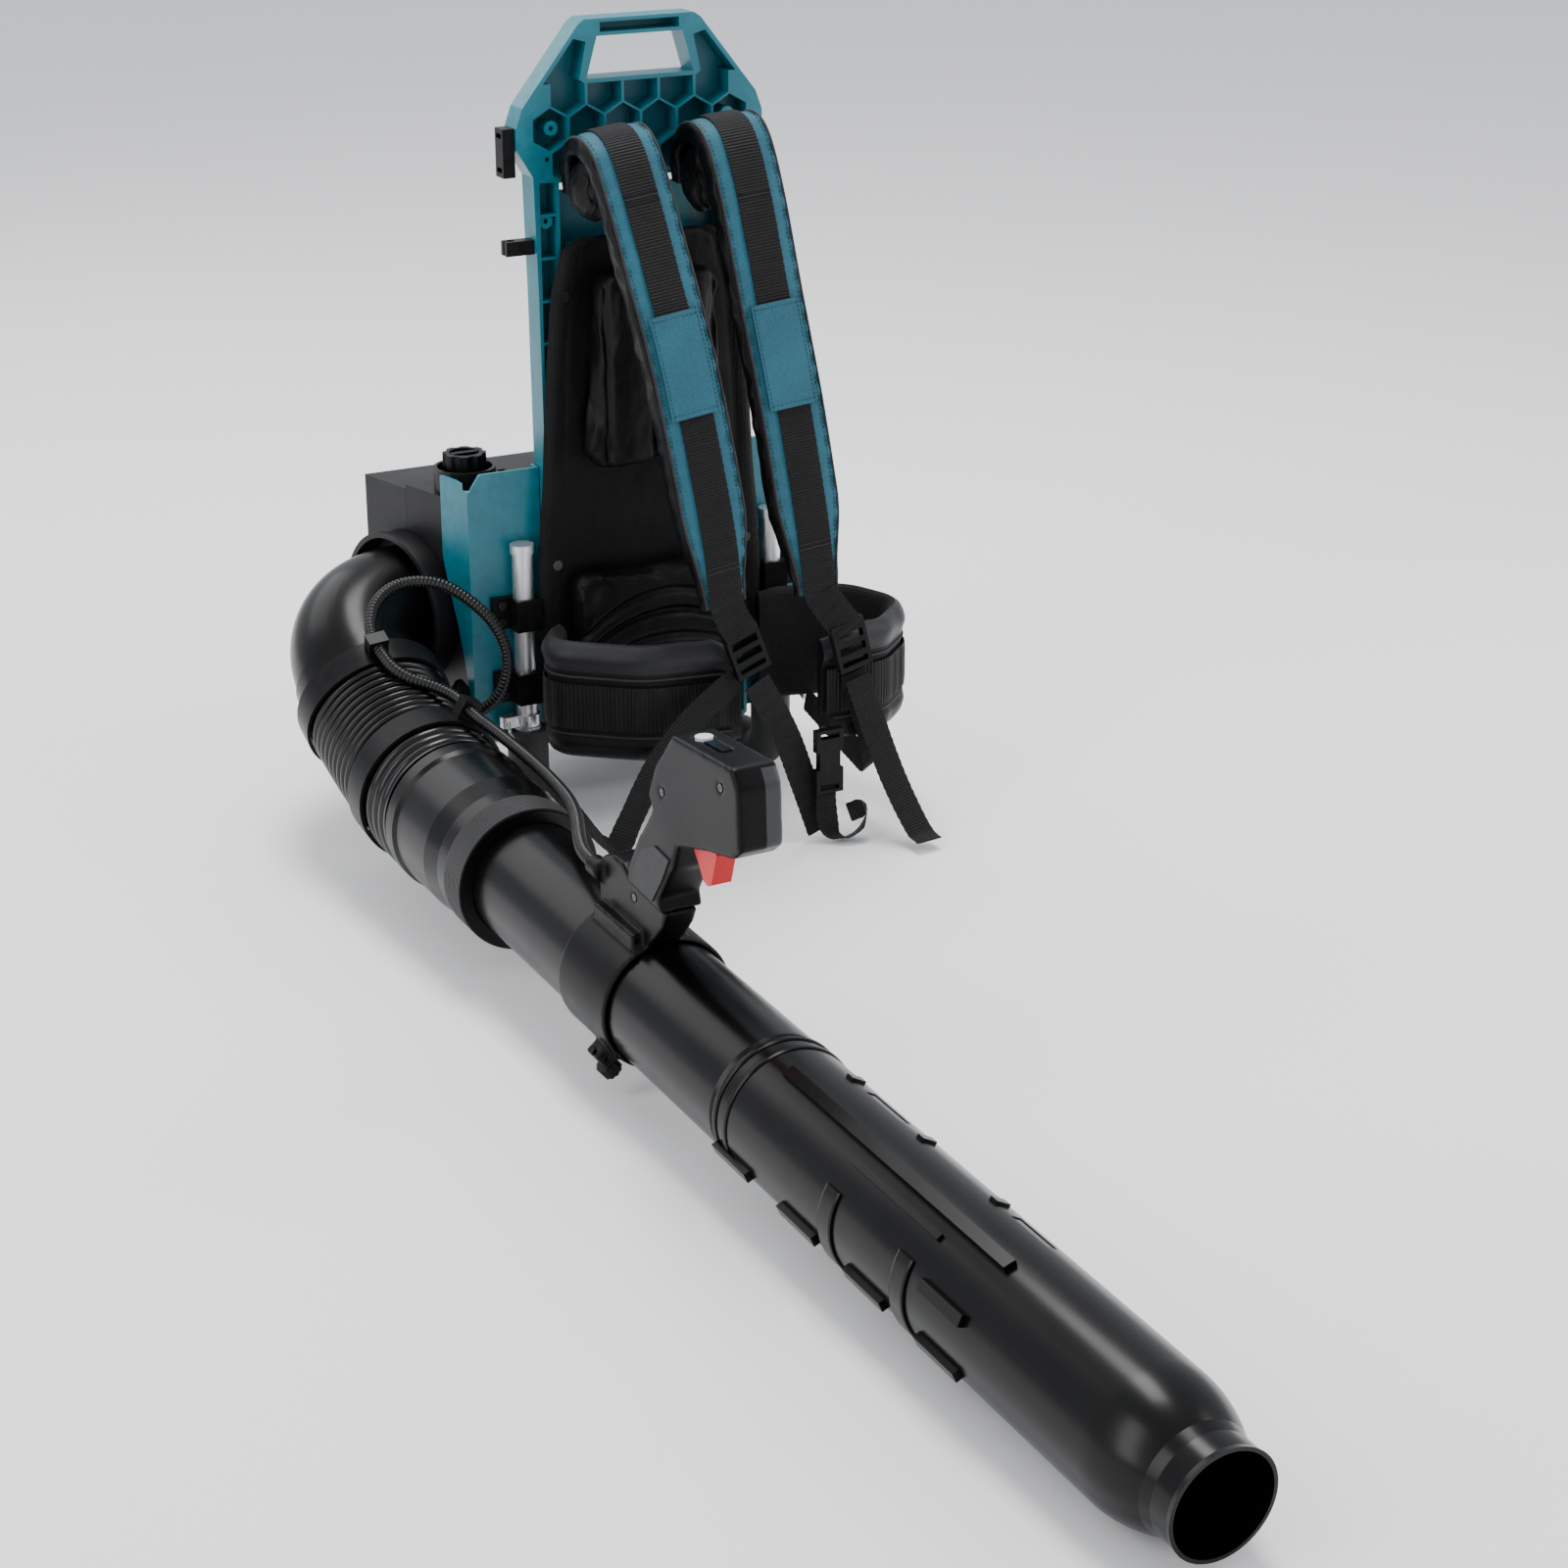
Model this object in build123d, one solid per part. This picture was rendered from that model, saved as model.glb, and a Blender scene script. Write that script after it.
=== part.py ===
from build123d import *
from math import sin, cos, tan, atan, atan2, radians, degrees, sqrt, pi
import os

os.makedirs("parts", exist_ok=True)

# Backpack leaf blower, millimetres. +Z up, the harness side faces -Y, the floor is z = 0,
# x = 0 is the carrier's symmetry plane and y = 0 its front rim. The air pipe runs down the -X side.

# ---------------------------------------------------------------- driving dimensions
HANDLE_TOP = 690.0      # carrying handle, top edge
FRAME_D = 24.0          # depth of the open-ribbed carrier
WALL = 3.0              # moulded wall
COVER_Y = 12.0          # front face of the lower side covers
COVER_TOP = 316.0
SIDE_SLANT = 14.0       # side planes of the lower unit and the outlet axis, degrees
DECK_Z = 288.0
FAN_X, FAN_Z = 20.0, 172.0
TUBE_R = 9.0            # aluminium base tube
TUBE_X = 120.0
FOOT_R = 18.0
PIPE_R = 48.2           # swivel pipe, outside
PIPE_IN_R = 46.2        # its inner run, inside the nozzle
NOZ_R = 48.7            # telescoping nozzle, outside
NOZ_BORE = 46.7
MOUTH_R = 34.5          # nozzle outlet
ELBOW_R = 54.0
BEL_R0, BEL_R1 = 57.0, 61.5
TELE = 168.0            # nozzle travel, two steps of 84
STEP = 84.0

# ---------------------------------------------------------------- vectors and frames
def V3(t):
    return Vector(*t)

P0 = Vector(-250.7, -300.0, 84.5)                       # a point on the pipe axis
D = Vector(0.03179295, -0.99858035, -0.04273748).normalized()   # along the pipe, to the mouth
UX = Vector(0.99949, 0.03182, 0).normalized()           # to the right of the pipe
UY = D.cross(UX).normalized()                            # above the pipe
W0 = -137.0                                              # where the bellows meet the straight run
DROP, RUN = 50.0, 198.0
PH = 2 * atan(DROP / RUN)                                # total bend of the bellows at rest
RB = RUN / sin(PH)
T0 = P0 + D * W0

def ph(s):
    return PH - s / RB

def bP(s):                                               # point on the bellows' centreline
    p = ph(s)
    return T0 + UY * (RB * (1 - cos(p))) - D * (RB * sin(p))

def bT(s):
    p = ph(s)
    return D * cos(p) - UY * sin(p)

def bV(s):
    p = ph(s)
    return UY * cos(p) + D * sin(p)

def bplane(s):
    return Plane(origin=bP(s), x_dir=UX, z_dir=bT(s))

def pplane(w):
    return Plane(origin=P0 + D * w, x_dir=UX, z_dir=D)

def pt(w, u, v):                                         # pipe coordinates to row coordinates
    return P0 + D * w + UX * u + UY * v

A = Vector(-cos(radians(SIDE_SLANT)), -sin(radians(SIDE_SLANT)), 0)   # outlet axis, outwards
SIDE_V = Vector(0, 0, 1)

def arc_between(end, t_end, a_start, r):
    """Centreline arc that leaves along a_start and arrives at `end` along t_end."""
    turn = radians(a_start.get_angle(t_end))
    lt = r * tan(turn / 2)
    k = end - t_end * lt
    start = k - a_start * lt
    nrm = a_start.cross(t_end).normalized()
    to_c = nrm.cross(a_start)
    c = start + to_c * r
    half = turn / 2
    mid = c - to_c * (r * cos(half)) + a_start * (r * sin(half))
    return start, mid, c, turn

ELB_BEND = 72.0
INLET, ELB_MID, ELB_C, ELB_TURN = arc_between(bP(0), bT(0), A, ELB_BEND)
OUTP = Plane(origin=INLET, x_dir=Vector(0, 0, 1), z_dir=A)            # outlet plane, z outwards

def ring(plane, r1, r0, z0, z1):
    p = plane.offset(z0)
    body = extrude(p * Circle(r1), z1 - z0)
    if r0 > 0:
        body -= extrude(p.offset(-1) * Circle(r0), z1 - z0 + 2)
    return body

def rod(a, b, r):
    a, b = Vector(*a) if not isinstance(a, Vector) else a, Vector(*b) if not isinstance(b, Vector) else b
    v = b - a
    return extrude(Plane(origin=a, z_dir=v.normalized()) * Circle(r), v.length)

def poly(plane, pts):
    return make_face(plane * Polyline(*[(float(a), float(b)) for a, b in pts], close=True))

def slab(pts, y0, y1):
    """Outline in x, z, extruded from y0 to y1."""
    f = poly(Plane(origin=(0, y0, 0), x_dir=(1, 0, 0), z_dir=(0, -1, 0)), pts)
    return extrude(f, amount=y1 - y0, dir=(0, 1, 0))

def yz_slab(pts, x0, x1):
    pl = Plane(origin=(x0, 0, 0), x_dir=(0, 1, 0), z_dir=(1, 0, 0))
    return extrude(poly(pl, pts), amount=x1 - x0, dir=(1, 0, 0))

def box(x0, x1, y0, y1, z0, z1):
    return Pos((x0 + x1) / 2, (y0 + y1) / 2, (z0 + z1) / 2) * Box(x1 - x0, y1 - y0, z1 - z0)

def mx(s):
    return mirror(s, about=Plane.YZ)

NODES = {}

def keep(name, *shapes):
    sol = []
    for s in shapes:
        sol += list(s.solids())
    NODES[name] = sol

# ================================================================ carrier frame
half = [(0, 690), (50, 690), (56, 686), (107, 622), (113, 606), (113, 588), (99, 565), (97, 470), (96, 330), (96, 64), (90, 58), (0, 58)]
outline = half + [(-x, z) for x, z in reversed(half[1:-1])]
frame = slab(outline, 0, FRAME_D)
grip_hole = [(-39, 676), (39, 676), (49, 642), (-49, 642)]
frame -= slab(grip_hole, -1, FRAME_D + 1)
PANEL = 3.0
def pocket(pts):
    global frame
    frame -= slab(pts, -1, FRAME_D - PANEL)
# hexagonal lattice in the head panel
HEX_P = 33.0
def inside(x, z, m):
    if z > 634 - m or z < 566:
        return False
    lim = 113 - m
    if z > 606:
        lim = 113 - (z - 606) * 0.72 - m
    if z < 588:
        lim = 99 + (z - 565) * 0.6 - m
    return abs(x) < lim
for row, z in enumerate([574.5, 602.5 + 0.6, 631.2 - 0.2]):
    for i in range(-4, 5):
        x = i * HEX_P + (HEX_P / 2 if row % 2 else 0)
        r = (HEX_P - 2.4) / sqrt(3)
        pts = []
        for k in range(6):
            a = radians(60 * k + 30)
            pts.append((x + r * cos(a), z + r * sin(a)))
        # keep the pocket clear of the rim and the grip hole
        ok = all(inside(px, pz, 2.6) for px, pz in pts)
        if not ok:
            pts = [(px, pz) for px, pz in pts]
            if all(abs(px) < 113 for px, pz in pts):
                cl = []
                for px, pz in pts:
                    pz = min(pz, 638.5) if abs(px) < 60 else pz
                    lim = 110.0 if pz >= 588 and pz <= 606 else (110.0 - (pz - 606) * 0.80 if pz > 606 else 96.0 + (pz - 565) * 0.55)
                    px = max(-lim, min(lim, px))
                    cl.append((px, pz))
                xs = [p[0] for p in cl]
                if max(xs) - min(xs) > 9:
                    # drop repeated points
                    out = []
                    for p in cl:
                        if not out or abs(p[0] - out[-1][0]) + abs(p[1] - out[-1][1]) > 0.6:
                            out.append(p)
                    if len(out) > 3:
                        pts = out
                    else:
                        continue
                else:
                    continue
            else:
                continue
        pocket(pts)
# struts beside the carrying handle
for sgn in (1, -1):
    pts = [(sgn * 56, 640), (sgn * 88, 640), (sgn * 60, 675), (sgn * 49, 672)]
    pocket(pts)
pocket([(-36, 687), (36, 687), (36, 679), (-36, 679)])
# side channels with cross ribs at a 36 mm pitch
for k in range(14):
    z0 = 66 + 36 * k
    z1 = z0 + 34
    if z1 > 562:
        z1 = 560
    if z1 - z0 < 8:
        continue
    xo = 93.0 if z0 < 330 else 93.6
    for sgn in (1, -1):
        pocket([(sgn * 79, z0), (sgn * xo, z0), (sgn * xo, z1), (sgn * 79, z1)])
# centre field behind the back pad
for k in range(7):
    z0 = 66 + 71 * k
    for sgn in (1, -1):
        pocket([(sgn * 3, z0), (sgn * 76, z0), (sgn * 76, z0 + 67), (sgn * 3, z0 + 67)])
# harness screw bosses, bored for their screws
BOSS = [(81, 604), (86, 579), (88, 528)]
for bx, bz in BOSS:
    for sgn in (1, -1):
        frame += rod((sgn * bx, 2, bz), (sgn * bx, FRAME_D - PANEL + 0.5, bz), 6.0)
        frame -= rod((sgn * bx, -1, bz), (sgn * bx, FRAME_D - 6, bz), 2.0)
# slots that the shoulder straps pass through
for sgn in (1, -1):
    frame -= slab([(sgn * 27, 556), (sgn * 75, 556), (sgn * 75, 549), (sgn * 27, 549)], -1, FRAME_D + 1)
# four bolt holes for the power pack, through the rear panel
PACK_X, PACK_Z, PACK_H, PACK_R = 60.0, 430.0, 70.0, 2.75
for sx in (1, -1):
    for sz in (1, -1):
        x, z = sx * PACK_X, PACK_Z + sz * PACK_H
        frame += rod((x, 10, z), (x, FRAME_D - PANEL + 0.5, z), 7.0)
        frame -= rod((x, 4, z), (x, FRAME_D + 1, z), PACK_R)
keep("back_frame", frame)

# ================================================================ lower side covers
def side_plane_box(x_at_y12, keep_inside=True, yref=12.0):
    """Half space on the inner side of the left slanted plane through (x_at_y12, yref)."""
    pl = Plane(origin=(x_at_y12, yref, 0), x_dir=Vector(0, 0, 1), z_dir=A)
    return extrude(pl * Rectangle(1600, 1600), 400)        # the outer side, to be cut away

cov = [(-97, 316), (-151, 316), (-160, 309), (-178, 309), (-182, 250), (-182, 104), (-149, 77), (-131, 75), (-97, 66)]
cover = slab(cov, COVER_Y, 50)
cover -= side_plane_box(-163.5)
cin = [(-100, 400), (-200, 400), (-200, 107), (-147, 80.5), (-130, 78.5), (-100, 70)]
inner = slab(cin, COVER_Y + WALL, 60) - side_plane_box(-160.3)
cover -= inner
cover -= box(-96.9, -50, 0, 80, 0, 400)
cover -= box(-101, -90, FRAME_D, 80, 0, 400)
back_cut = yz_slab([(50.5, 240), (44, 215), (31, 176), (24, 146), (18.5, 118), (17, 60), (80, 60), (80, 240)], -250, -90)
cover -= back_cut
# rounded front corner at the top left
cover -= slab([(-151, 317), (-165, 317), (-165, 300), (-160.5, 303)], -5, 60)
cover -= rod((-TUBE_X, 0, 0), (-TUBE_X, 0, 88), FOOT_R + 0.6)
cover_l = cover
keep("side_cover_left", cover_l)
keep("side_cover_right", mx(cover_l))

# ================================================================ fan housing
hb = [(-205, 288), (205, 288), (205, 104), (150, 104), (120, 60), (-70, 60), (-112, 104), (-205, 104)]
hf = slab(hb, 27, 108)
cut_l = side_plane_box(-160.0, yref=16.0)
cut_r = mx(cut_l)
hf = hf - cut_l - cut_r
hi = [(-205, 285), (205, 285), (205, 107), (148, 107), (118, 63), (-68, 63), (-110, 107), (-205, 107)]
cut_li = side_plane_box(-157.0, yref=16.0)
hfi = slab(hi, 30, 120) - cut_li - mx(cut_li)
hf = hf - hfi
DUCT_OUT, DUCT_IN = 66.5, 63.5
duct_cut = ring(OUTP, DUCT_OUT + 0.3, 0, -75, 30)
hf -= duct_cut
KNOB_X, KNOB_Y = -142.0, 69.0
hf -= rod((KNOB_X, KNOB_Y, 280), (KNOB_X, KNOB_Y, 300), 8.3)

# rear half: scroll with the intake in its back wall
SC_R = 112.0
REAR_Y = 168.0
def rear_shape(off, y0, y1):
    c = extrude(Plane(origin=(FAN_X, y0, FAN_Z), x_dir=(1, 0, 0), z_dir=(0, 1, 0)) * Circle(SC_R - off), y1 - y0)
    blk = slab([(-205, 284 - off), (FAN_X, 284 - off), (FAN_X, 62 + off), (-60, 62 + off), (-112, 100 + off), (-205, 100 + off)], y0, y1)
    return c + blk
hr = rear_shape(0, 108.3, REAR_Y) - side_plane_box(-160.0, yref=16.0)
hr_in = rear_shape(3, 100, REAR_Y - 3) - side_plane_box(-157.0, yref=16.0)
hr -= hr_in
hr -= duct_cut
INT_R = 78.0
hr -= rod((FAN_X, 150, FAN_Z), (FAN_X, 180, FAN_Z), INT_R)
keep("fan_housing_rear", hr)

# intake grille, a dished ring of bars over the opening
gr = ring(Plane(origin=(FAN_X, REAR_Y + 0.1, FAN_Z), x_dir=(1, 0, 0), z_dir=(0, 1, 0)), 90, 76, 0, 4)
for r in (60, 44, 28):
    gr += ring(Plane(origin=(FAN_X, REAR_Y + 0.1, FAN_Z), x_dir=(1, 0, 0), z_dir=(0, 1, 0)), r, r - 3, 0, 4)
gr += ring(Plane(origin=(FAN_X, REAR_Y + 0.1, FAN_Z), x_dir=(1, 0, 0), z_dir=(0, 1, 0)), 12, 0, 0, 4)
for k in range(12):
    a = radians(30 * k)
    bar = Plane(origin=(FAN_X, REAR_Y + 2.1, FAN_Z), x_dir=(cos(a), 0, sin(a)), z_dir=(0, 1, 0)) * Pos(45, 0, 0) * Box(72, 3, 4)
    gr += bar
keep("intake_grille", gr)

# outlet hood: outer collar, web and the spigot that the elbow turns on
hood = ring(OUTP, DUCT_OUT, DUCT_IN, -62, 0)
hood += ring(OUTP, DUCT_IN + 1, 48, -26, -22)
hood += ring(OUTP, 50.4, 47.6, -26, 12)
hood_lip = ring(OUTP, DUCT_OUT + 1.8, DUCT_IN, -5, 0)
hood += hood_lip
keep("outlet_hood", hood)

# ================================================================ fan, motor, electronics
FAN_PL = Plane(origin=(FAN_X, 0, FAN_Z), x_dir=(1, 0, 0), z_dir=(0, 1, 0))
motor_mount = ring(FAN_PL, 52, 20, 84, 88)
for k in range(4):
    a = radians(45 + 90 * k)
    motor_mount += rod((FAN_X + 46 * cos(a), 30, FAN_Z + 46 * sin(a)), (FAN_X + 46 * cos(a), 85, FAN_Z + 46 * sin(a)), 4)
stator = ring(FAN_PL, 36, 6, 44, 84)
keep("motor", motor_mount + stator)
imp = ring(FAN_PL, 92, 0, 92, 95) + ring(FAN_PL, 26, 0, 92, 128)
for k in range(11):
    a = radians(360 / 11 * k)
    pl = Plane(origin=(FAN_X + 60 * cos(a), 112, FAN_Z + 60 * sin(a)), x_dir=(cos(a + 0.5), 0, sin(a + 0.5)), z_dir=(0, 1, 0))
    imp += pl * Box(58, 2.4, 36)
imp += rod((FAN_X, 40, FAN_Z), (FAN_X, 132, FAN_Z), 4.0)
keep("fan_impeller", imp)
ctl = box(-60, -30, 34, 78, 92, 180)
keep("motor_controller", ctl)

# ================================================================ base tube, clamps, feet
TUBE_TOP = 250.0
REAR_X, REAR_T = 120.0, 208.0
up_l = rod((-TUBE_X, 0, 86), (-TUBE_X, 0, TUBE_TOP), TUBE_R) - rod((-TUBE_X, 0, 80), (-TUBE_X, 0, TUBE_TOP + 5), TUBE_R - 1.5)
up_l += ring(Plane(origin=(-TUBE_X, 0, TUBE_TOP - 4)), 10.5, TUBE_R - 1.5, 0, 4)
up_l += rod((-TUBE_X, 0, TUBE_TOP), (-TUBE_X, 0, TUBE_TOP + 4), 10.5)
up_l += ring(Plane(origin=(-TUBE_X, 0, 86)), 11.8, TUBE_R - 1.5, 0, 2.5)
keep("upright_tube", up_l, mx(up_l))
# floor rail: runs back along the floor on each side and across behind the fan
RAIL_Z = 18.0
c0 = 40.0
path = Line((-TUBE_X, 42, RAIL_Z), (-TUBE_X, REAR_T - c0, RAIL_Z)) + ThreePointArc((-TUBE_X, REAR_T - c0, RAIL_Z), (-TUBE_X + c0 * (1 - cos(pi / 4)), REAR_T - c0 + c0 * sin(pi / 4), RAIL_Z), (-TUBE_X + c0, REAR_T, RAIL_Z)) \
    + Line((-TUBE_X + c0, REAR_T, RAIL_Z), (TUBE_X - c0, REAR_T, RAIL_Z)) + ThreePointArc((TUBE_X - c0, REAR_T, RAIL_Z), (TUBE_X - c0 * (1 - cos(pi / 4)), REAR_T - c0 + c0 * sin(pi / 4), RAIL_Z), (TUBE_X, REAR_T - c0, RAIL_Z)) \
    + Line((TUBE_X, REAR_T - c0, RAIL_Z), (TUBE_X, 42, RAIL_Z))
pl0 = Plane(origin=(-TUBE_X, 42, RAIL_Z), z_dir=(0, 1, 0))
rail = sweep(pl0 * Circle(TUBE_R), path=path) - sweep(pl0 * Circle(TUBE_R - 1.5), path=path)
keep("floor_rail", rail)
# rubber elbow foot: from the upright down and back onto the rail
fz = 86.0
bend = 30.0
fpath = Line((-TUBE_X, 0, fz - 0.2), (-TUBE_X, 0, FOOT_R + bend)) + ThreePointArc((-TUBE_X, 0, FOOT_R + bend), (-TUBE_X, bend * (1 - cos(pi / 4)), FOOT_R + bend - bend * sin(pi / 4)), (-TUBE_X, bend, FOOT_R)) + Line((-TUBE_X, bend, FOOT_R), (-TUBE_X, 62, FOOT_R))
foot = sweep(Plane(origin=(-TUBE_X, 0, fz - 0.2), z_dir=(0, 0, -1)) * Circle(FOOT_R), path=fpath)
foot -= rod((-TUBE_X, 41.8, FOOT_R), (-TUBE_X, 63, FOOT_R), TUBE_R)
foot -= rod((-TUBE_X, 0, 74), (-TUBE_X, 0, 90), 8.0)
keep("front_foot", foot, mx(foot))
rf = ring(Plane(origin=(-58, REAR_T, RAIL_Z), z_dir=(1, 0, 0)), FOOT_R, TUBE_R + 0.05, -20, 20)
keep("rear_foot", rf, mx(rf))
# stay between the rail and the back of the fan housing
rs = box(-14, 34, REAR_T - 30, REAR_T + 12, 12, 30) - rod((-30, REAR_T, RAIL_Z), (70, REAR_T, RAIL_Z), TUBE_R + 0.05)
rs += box(-14, 34, REAR_Y + 0.3, REAR_T - 24, 12, 79)
keep("rail_bracket", rs)

# clamps that hold each upright to its cover, two screws each
def clamp2(zc):
    b = box(-146, -129.2, 5, COVER_Y, zc - 14, zc + 14)                     # ear on the cover
    b += box(-131, -109, -12, COVER_Y, zc - 14, zc + 14)
    b -= rod((-TUBE_X, 0, zc - 20), (-TUBE_X, 0, zc + 20), TUBE_R)
    for dz in (-7.5, 7.5):
        b -= rod((-138.5, 0, zc + dz), (-138.5, 30, zc + dz), 1.75)
    return b
CL_Z = (192.0, 125.0)
cl = [clamp2(z) for z in CL_Z]
keep("tube_clamp", *cl, *[mx(c) for c in cl])
scr = []
for z in CL_Z:
    for dz in (-7.5, 7.5):
        s = rod((-138.5, 2.2, z + dz), (-138.5, 5, z + dz), 3.6) + rod((-138.5, 5, z + dz), (-138.5, COVER_Y, z + dz), 1.75)
        s -= Plane(origin=(-138.5, 2.2, z + dz), z_dir=(0, 1, 0)) * Box(1.2, 1.2, 2.4)
        scr.append(s)
keep("clamp_screw", *scr, *[mx(s) for s in scr])
# strap ring brackets on the uprights
rb = ring(Plane(origin=(-TUBE_X, 0, 90)), 11.7, TUBE_R, 0, 10)
rb += box(-141, -130.5, -6, 6, 90, 100)
rb += rod((-140, 0, 90), (-140, 0, 100), 6.0)
HOOK = Plane(origin=(-140, 0, 88.2), x_dir=(0, 1, 0), z_dir=(1, 0, 0))
rb -= HOOK * Torus(8.0, 1.8)
keep("ring_bracket", rb, mx(rb))

# ================================================================ deck knob, boss, latch plate, label
boss = ring(Plane(origin=(KNOB_X, KNOB_Y, DECK_Z)), 27, 8.3, 0, 21)
boss = boss - (ring(Plane(origin=(KNOB_X, KNOB_Y, DECK_Z)), 24, 14, 2.5, 22))
hf += boss
keep("fan_housing_front", hf)
knob = ring(Plane(origin=(KNOB_X, KNOB_Y, DECK_Z + 21.3)), 19, 0, 0, 12)
for k in range(8):
    a = radians(45 * k)
    knob -= rod((KNOB_X + 22.0 * cos(a), KNOB_Y + 22.0 * sin(a), DECK_Z + 21.0), (KNOB_X + 22.0 * cos(a), KNOB_Y + 22.0 * sin(a), DECK_Z + 40), 5.5)
knob -= ring(Plane(origin=(KNOB_X, KNOB_Y, DECK_Z + 31.3)), 13, 0, 0, 3)
knob += box(KNOB_X - 12, KNOB_X + 12, KNOB_Y - 2.5, KNOB_Y + 2.5, DECK_Z + 31, DECK_Z + 33.3)
knob += rod((KNOB_X, KNOB_Y, DECK_Z - 5), (KNOB_X, KNOB_Y, DECK_Z + 22), 8.0)
keep("pack_lock_knob", knob)
lp = box(-114, -101, 52, 78, DECK_Z, DECK_Z + 12) - box(-111, -104, 57, 73, DECK_Z + 9, DECK_Z + 14)
keep("pack_latch", lp)

# ================================================================ elbow
e_path = ThreePointArc(INLET, ELB_MID, bP(0))
spl = Plane(origin=INLET, x_dir=Vector(0, 0, 1), z_dir=A)
sp_path = ThreePointArc(bP(0), bP(23), bP(46))
sp_long = ThreePointArc(bP(0), bP(30), bP(60))
elbow_o = sweep(spl * Circle(ELBOW_R), path=e_path) + ring(spl, ELBOW_R, 0, -19, 0) + sweep(bplane(0) * Circle(56.6), path=sp_path)
elbow_i = sweep(spl * Circle(ELBOW_R - 3), path=e_path) + ring(spl, ELBOW_R - 3, 0, -30, 0) + sweep(bplane(0) * Circle(ELBOW_R - 3), path=sp_long)
elbow = elbow_o - elbow_i
keep("elbow", elbow)
S_C1, S_C2 = 37.0, 151.0
clamp1 = ring(bplane(S_C1), 65.0, 62.0, -12, 12)
def clip(plane, ang, r, w, base_r):
    """A hook on a clamp band that holds the conduit at radius r."""
    a = radians(ang)
    x, y = r * cos(a), r * sin(a)
    pl = Plane(origin=plane.from_local_coords((x, y, 0)), x_dir=plane.x_dir * cos(a) + plane.y_dir * sin(a), z_dir=plane.z_dir)
    body = pl * Box(17, 17, w)
    body -= pl * Cylinder(5.4, w + 4)
    body -= extrude(plane.offset(-w) * Circle(base_r - 0.6), 2 * w) if base_r else body
    return body
COND_R = 5.0
c1_ang, c2_ang = 96.0, 62.0
c1_r, c2_r = 72.0, 73.0
clamp1 += clip(bplane(S_C1), c1_ang, c1_r, 12, 62.2)
keep("bellows_clamp", clamp1)

# ================================================================ bellows and couplings
def arc_tube(s0, s1, r1, r0):
    p = ThreePointArc(bP(s0), bP((s0 + s1) / 2), bP(s1))
    return sweep(bplane(s0) * Circle(r1), path=p) - sweep(bplane(s0) * Circle(r0), path=p)
bel1 = arc_tube(22, 150.5, BEL_R1, BEL_R0)
keep("bellows_main", bel1)
bel2 = arc_tube(151.5, 206, BEL_R1, BEL_R0)
keep("bellows_short", bel2)
clamp2b = ring(bplane(S_C2), 65.0, 61.9, -13, 13)
clamp2b += clip(bplane(S_C2), c2_ang, c2_r, 12, 62.6)
keep("mid_clamp", clamp2b)

# cuff: adapter between the short bellows and the swivel pipe
PL = pplane(0)
def prof_ring(pts, plane=PL):
    """Closed r, w profile turned about the pipe axis."""
    return revolve(poly(Plane(origin=plane.origin, x_dir=plane.x_dir, z_dir=-(plane.z_dir.cross(plane.x_dir))), pts), Axis(plane.origin, plane.z_dir), 360)
cuff = prof_ring([(53, -152), (56.4, -152), (56.4, -131), (62.5, -131), (62.5, -118), (60.2, -114), (60.2, -60), (57.5, -40), (57.5, 8), (48.8, 8), (48.8, -52), (53, -60)])
keep("pipe_cuff", cuff)
band = ring(PL, 59.4, 57.7, -22, 6)
keep("cuff_band", band)

# ================================================================ swivel pipe, sleeve, handle
pipe = prof_ring([(PIPE_R - 2.2, -50), (PIPE_R, -50), (PIPE_R, 392), (PIPE_IN_R, 396), (PIPE_IN_R, 760), (44.2, 760), (44.2, 392), (PIPE_R - 2.2, 388)])
keep("swivel_pipe", pipe)

HP = Plane(origin=P0, x_dir=D, z_dir=-UX)               # local x = along the pipe, y = above it
HU = -4.0                                                # the handle's middle, to the right of the pipe axis
def hslab(pts, u0, u1):
    f = poly(HP.offset(-u1), pts)
    return extrude(f, amount=u1 - u0, dir=-UX)
sleeve = ring(PL, 52.2, 0, 165, 240)
ped = hslab([(165, 30), (163, 70), (168, 92), (184, 99), (200, 99), (214, 91.7), (268, 87.7), (262, 74), (250, 60), (237, 46), (237, 30)], HU - 13, HU + 13)
sleeve = sleeve + ped
ped2 = hslab([(171, 30), (171, 58), (234, 58), (234, 30)], HU - 22, HU + 22)
sleeve = sleeve + ped2
# split clamp ears low on the left
KA = radians(-141)
KR = UX * cos(KA) + UY * sin(KA)
KT = UX * (-sin(KA)) + UY * cos(KA)
ear_pl = Plane(origin=P0 + D * 224 + KR * 56.5, x_dir=KR, z_dir=KT)
sleeve += ear_pl * Box(15, 18, 15)
sleeve -= ring(PL, PIPE_R + 0.2, 0, 150, 300)
sleeve -= ear_pl * Pos(-2, 0, 0) * Box(24, 90, 2.4)
sleeve -= ear_pl * Pos(4.6, 0, 0) * Cylinder(2.05, 40)
# collar that the conduit ends in
GU, GV = -17.0, 80.0
sleeve += rod(pt(154, GU, GV), pt(172, GU, GV), 8.0)
sleeve -= rod(pt(150, GU, GV), pt(165.5, GU, GV), 5.4)
sleeve -= rod(pt(219, HU - 20, 80), pt(219, HU - 10.5, 80), 3.4)
keep("handle_sleeve", sleeve)
ck = ear_pl * Pos(4.6, 0, 13.0) * Cylinder(8.0, 10)
for k in range(10):
    a = radians(36 * k)
    ck -= ear_pl * Pos(4.6 + 8.9 * cos(a), 8.9 * sin(a), 13.0) * Cylinder(1.6, 12)
ck += ear_pl * Pos(4.6, 0, 0) * Cylinder(2.0, 18)
keep("clamp_knob", ck)

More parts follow.
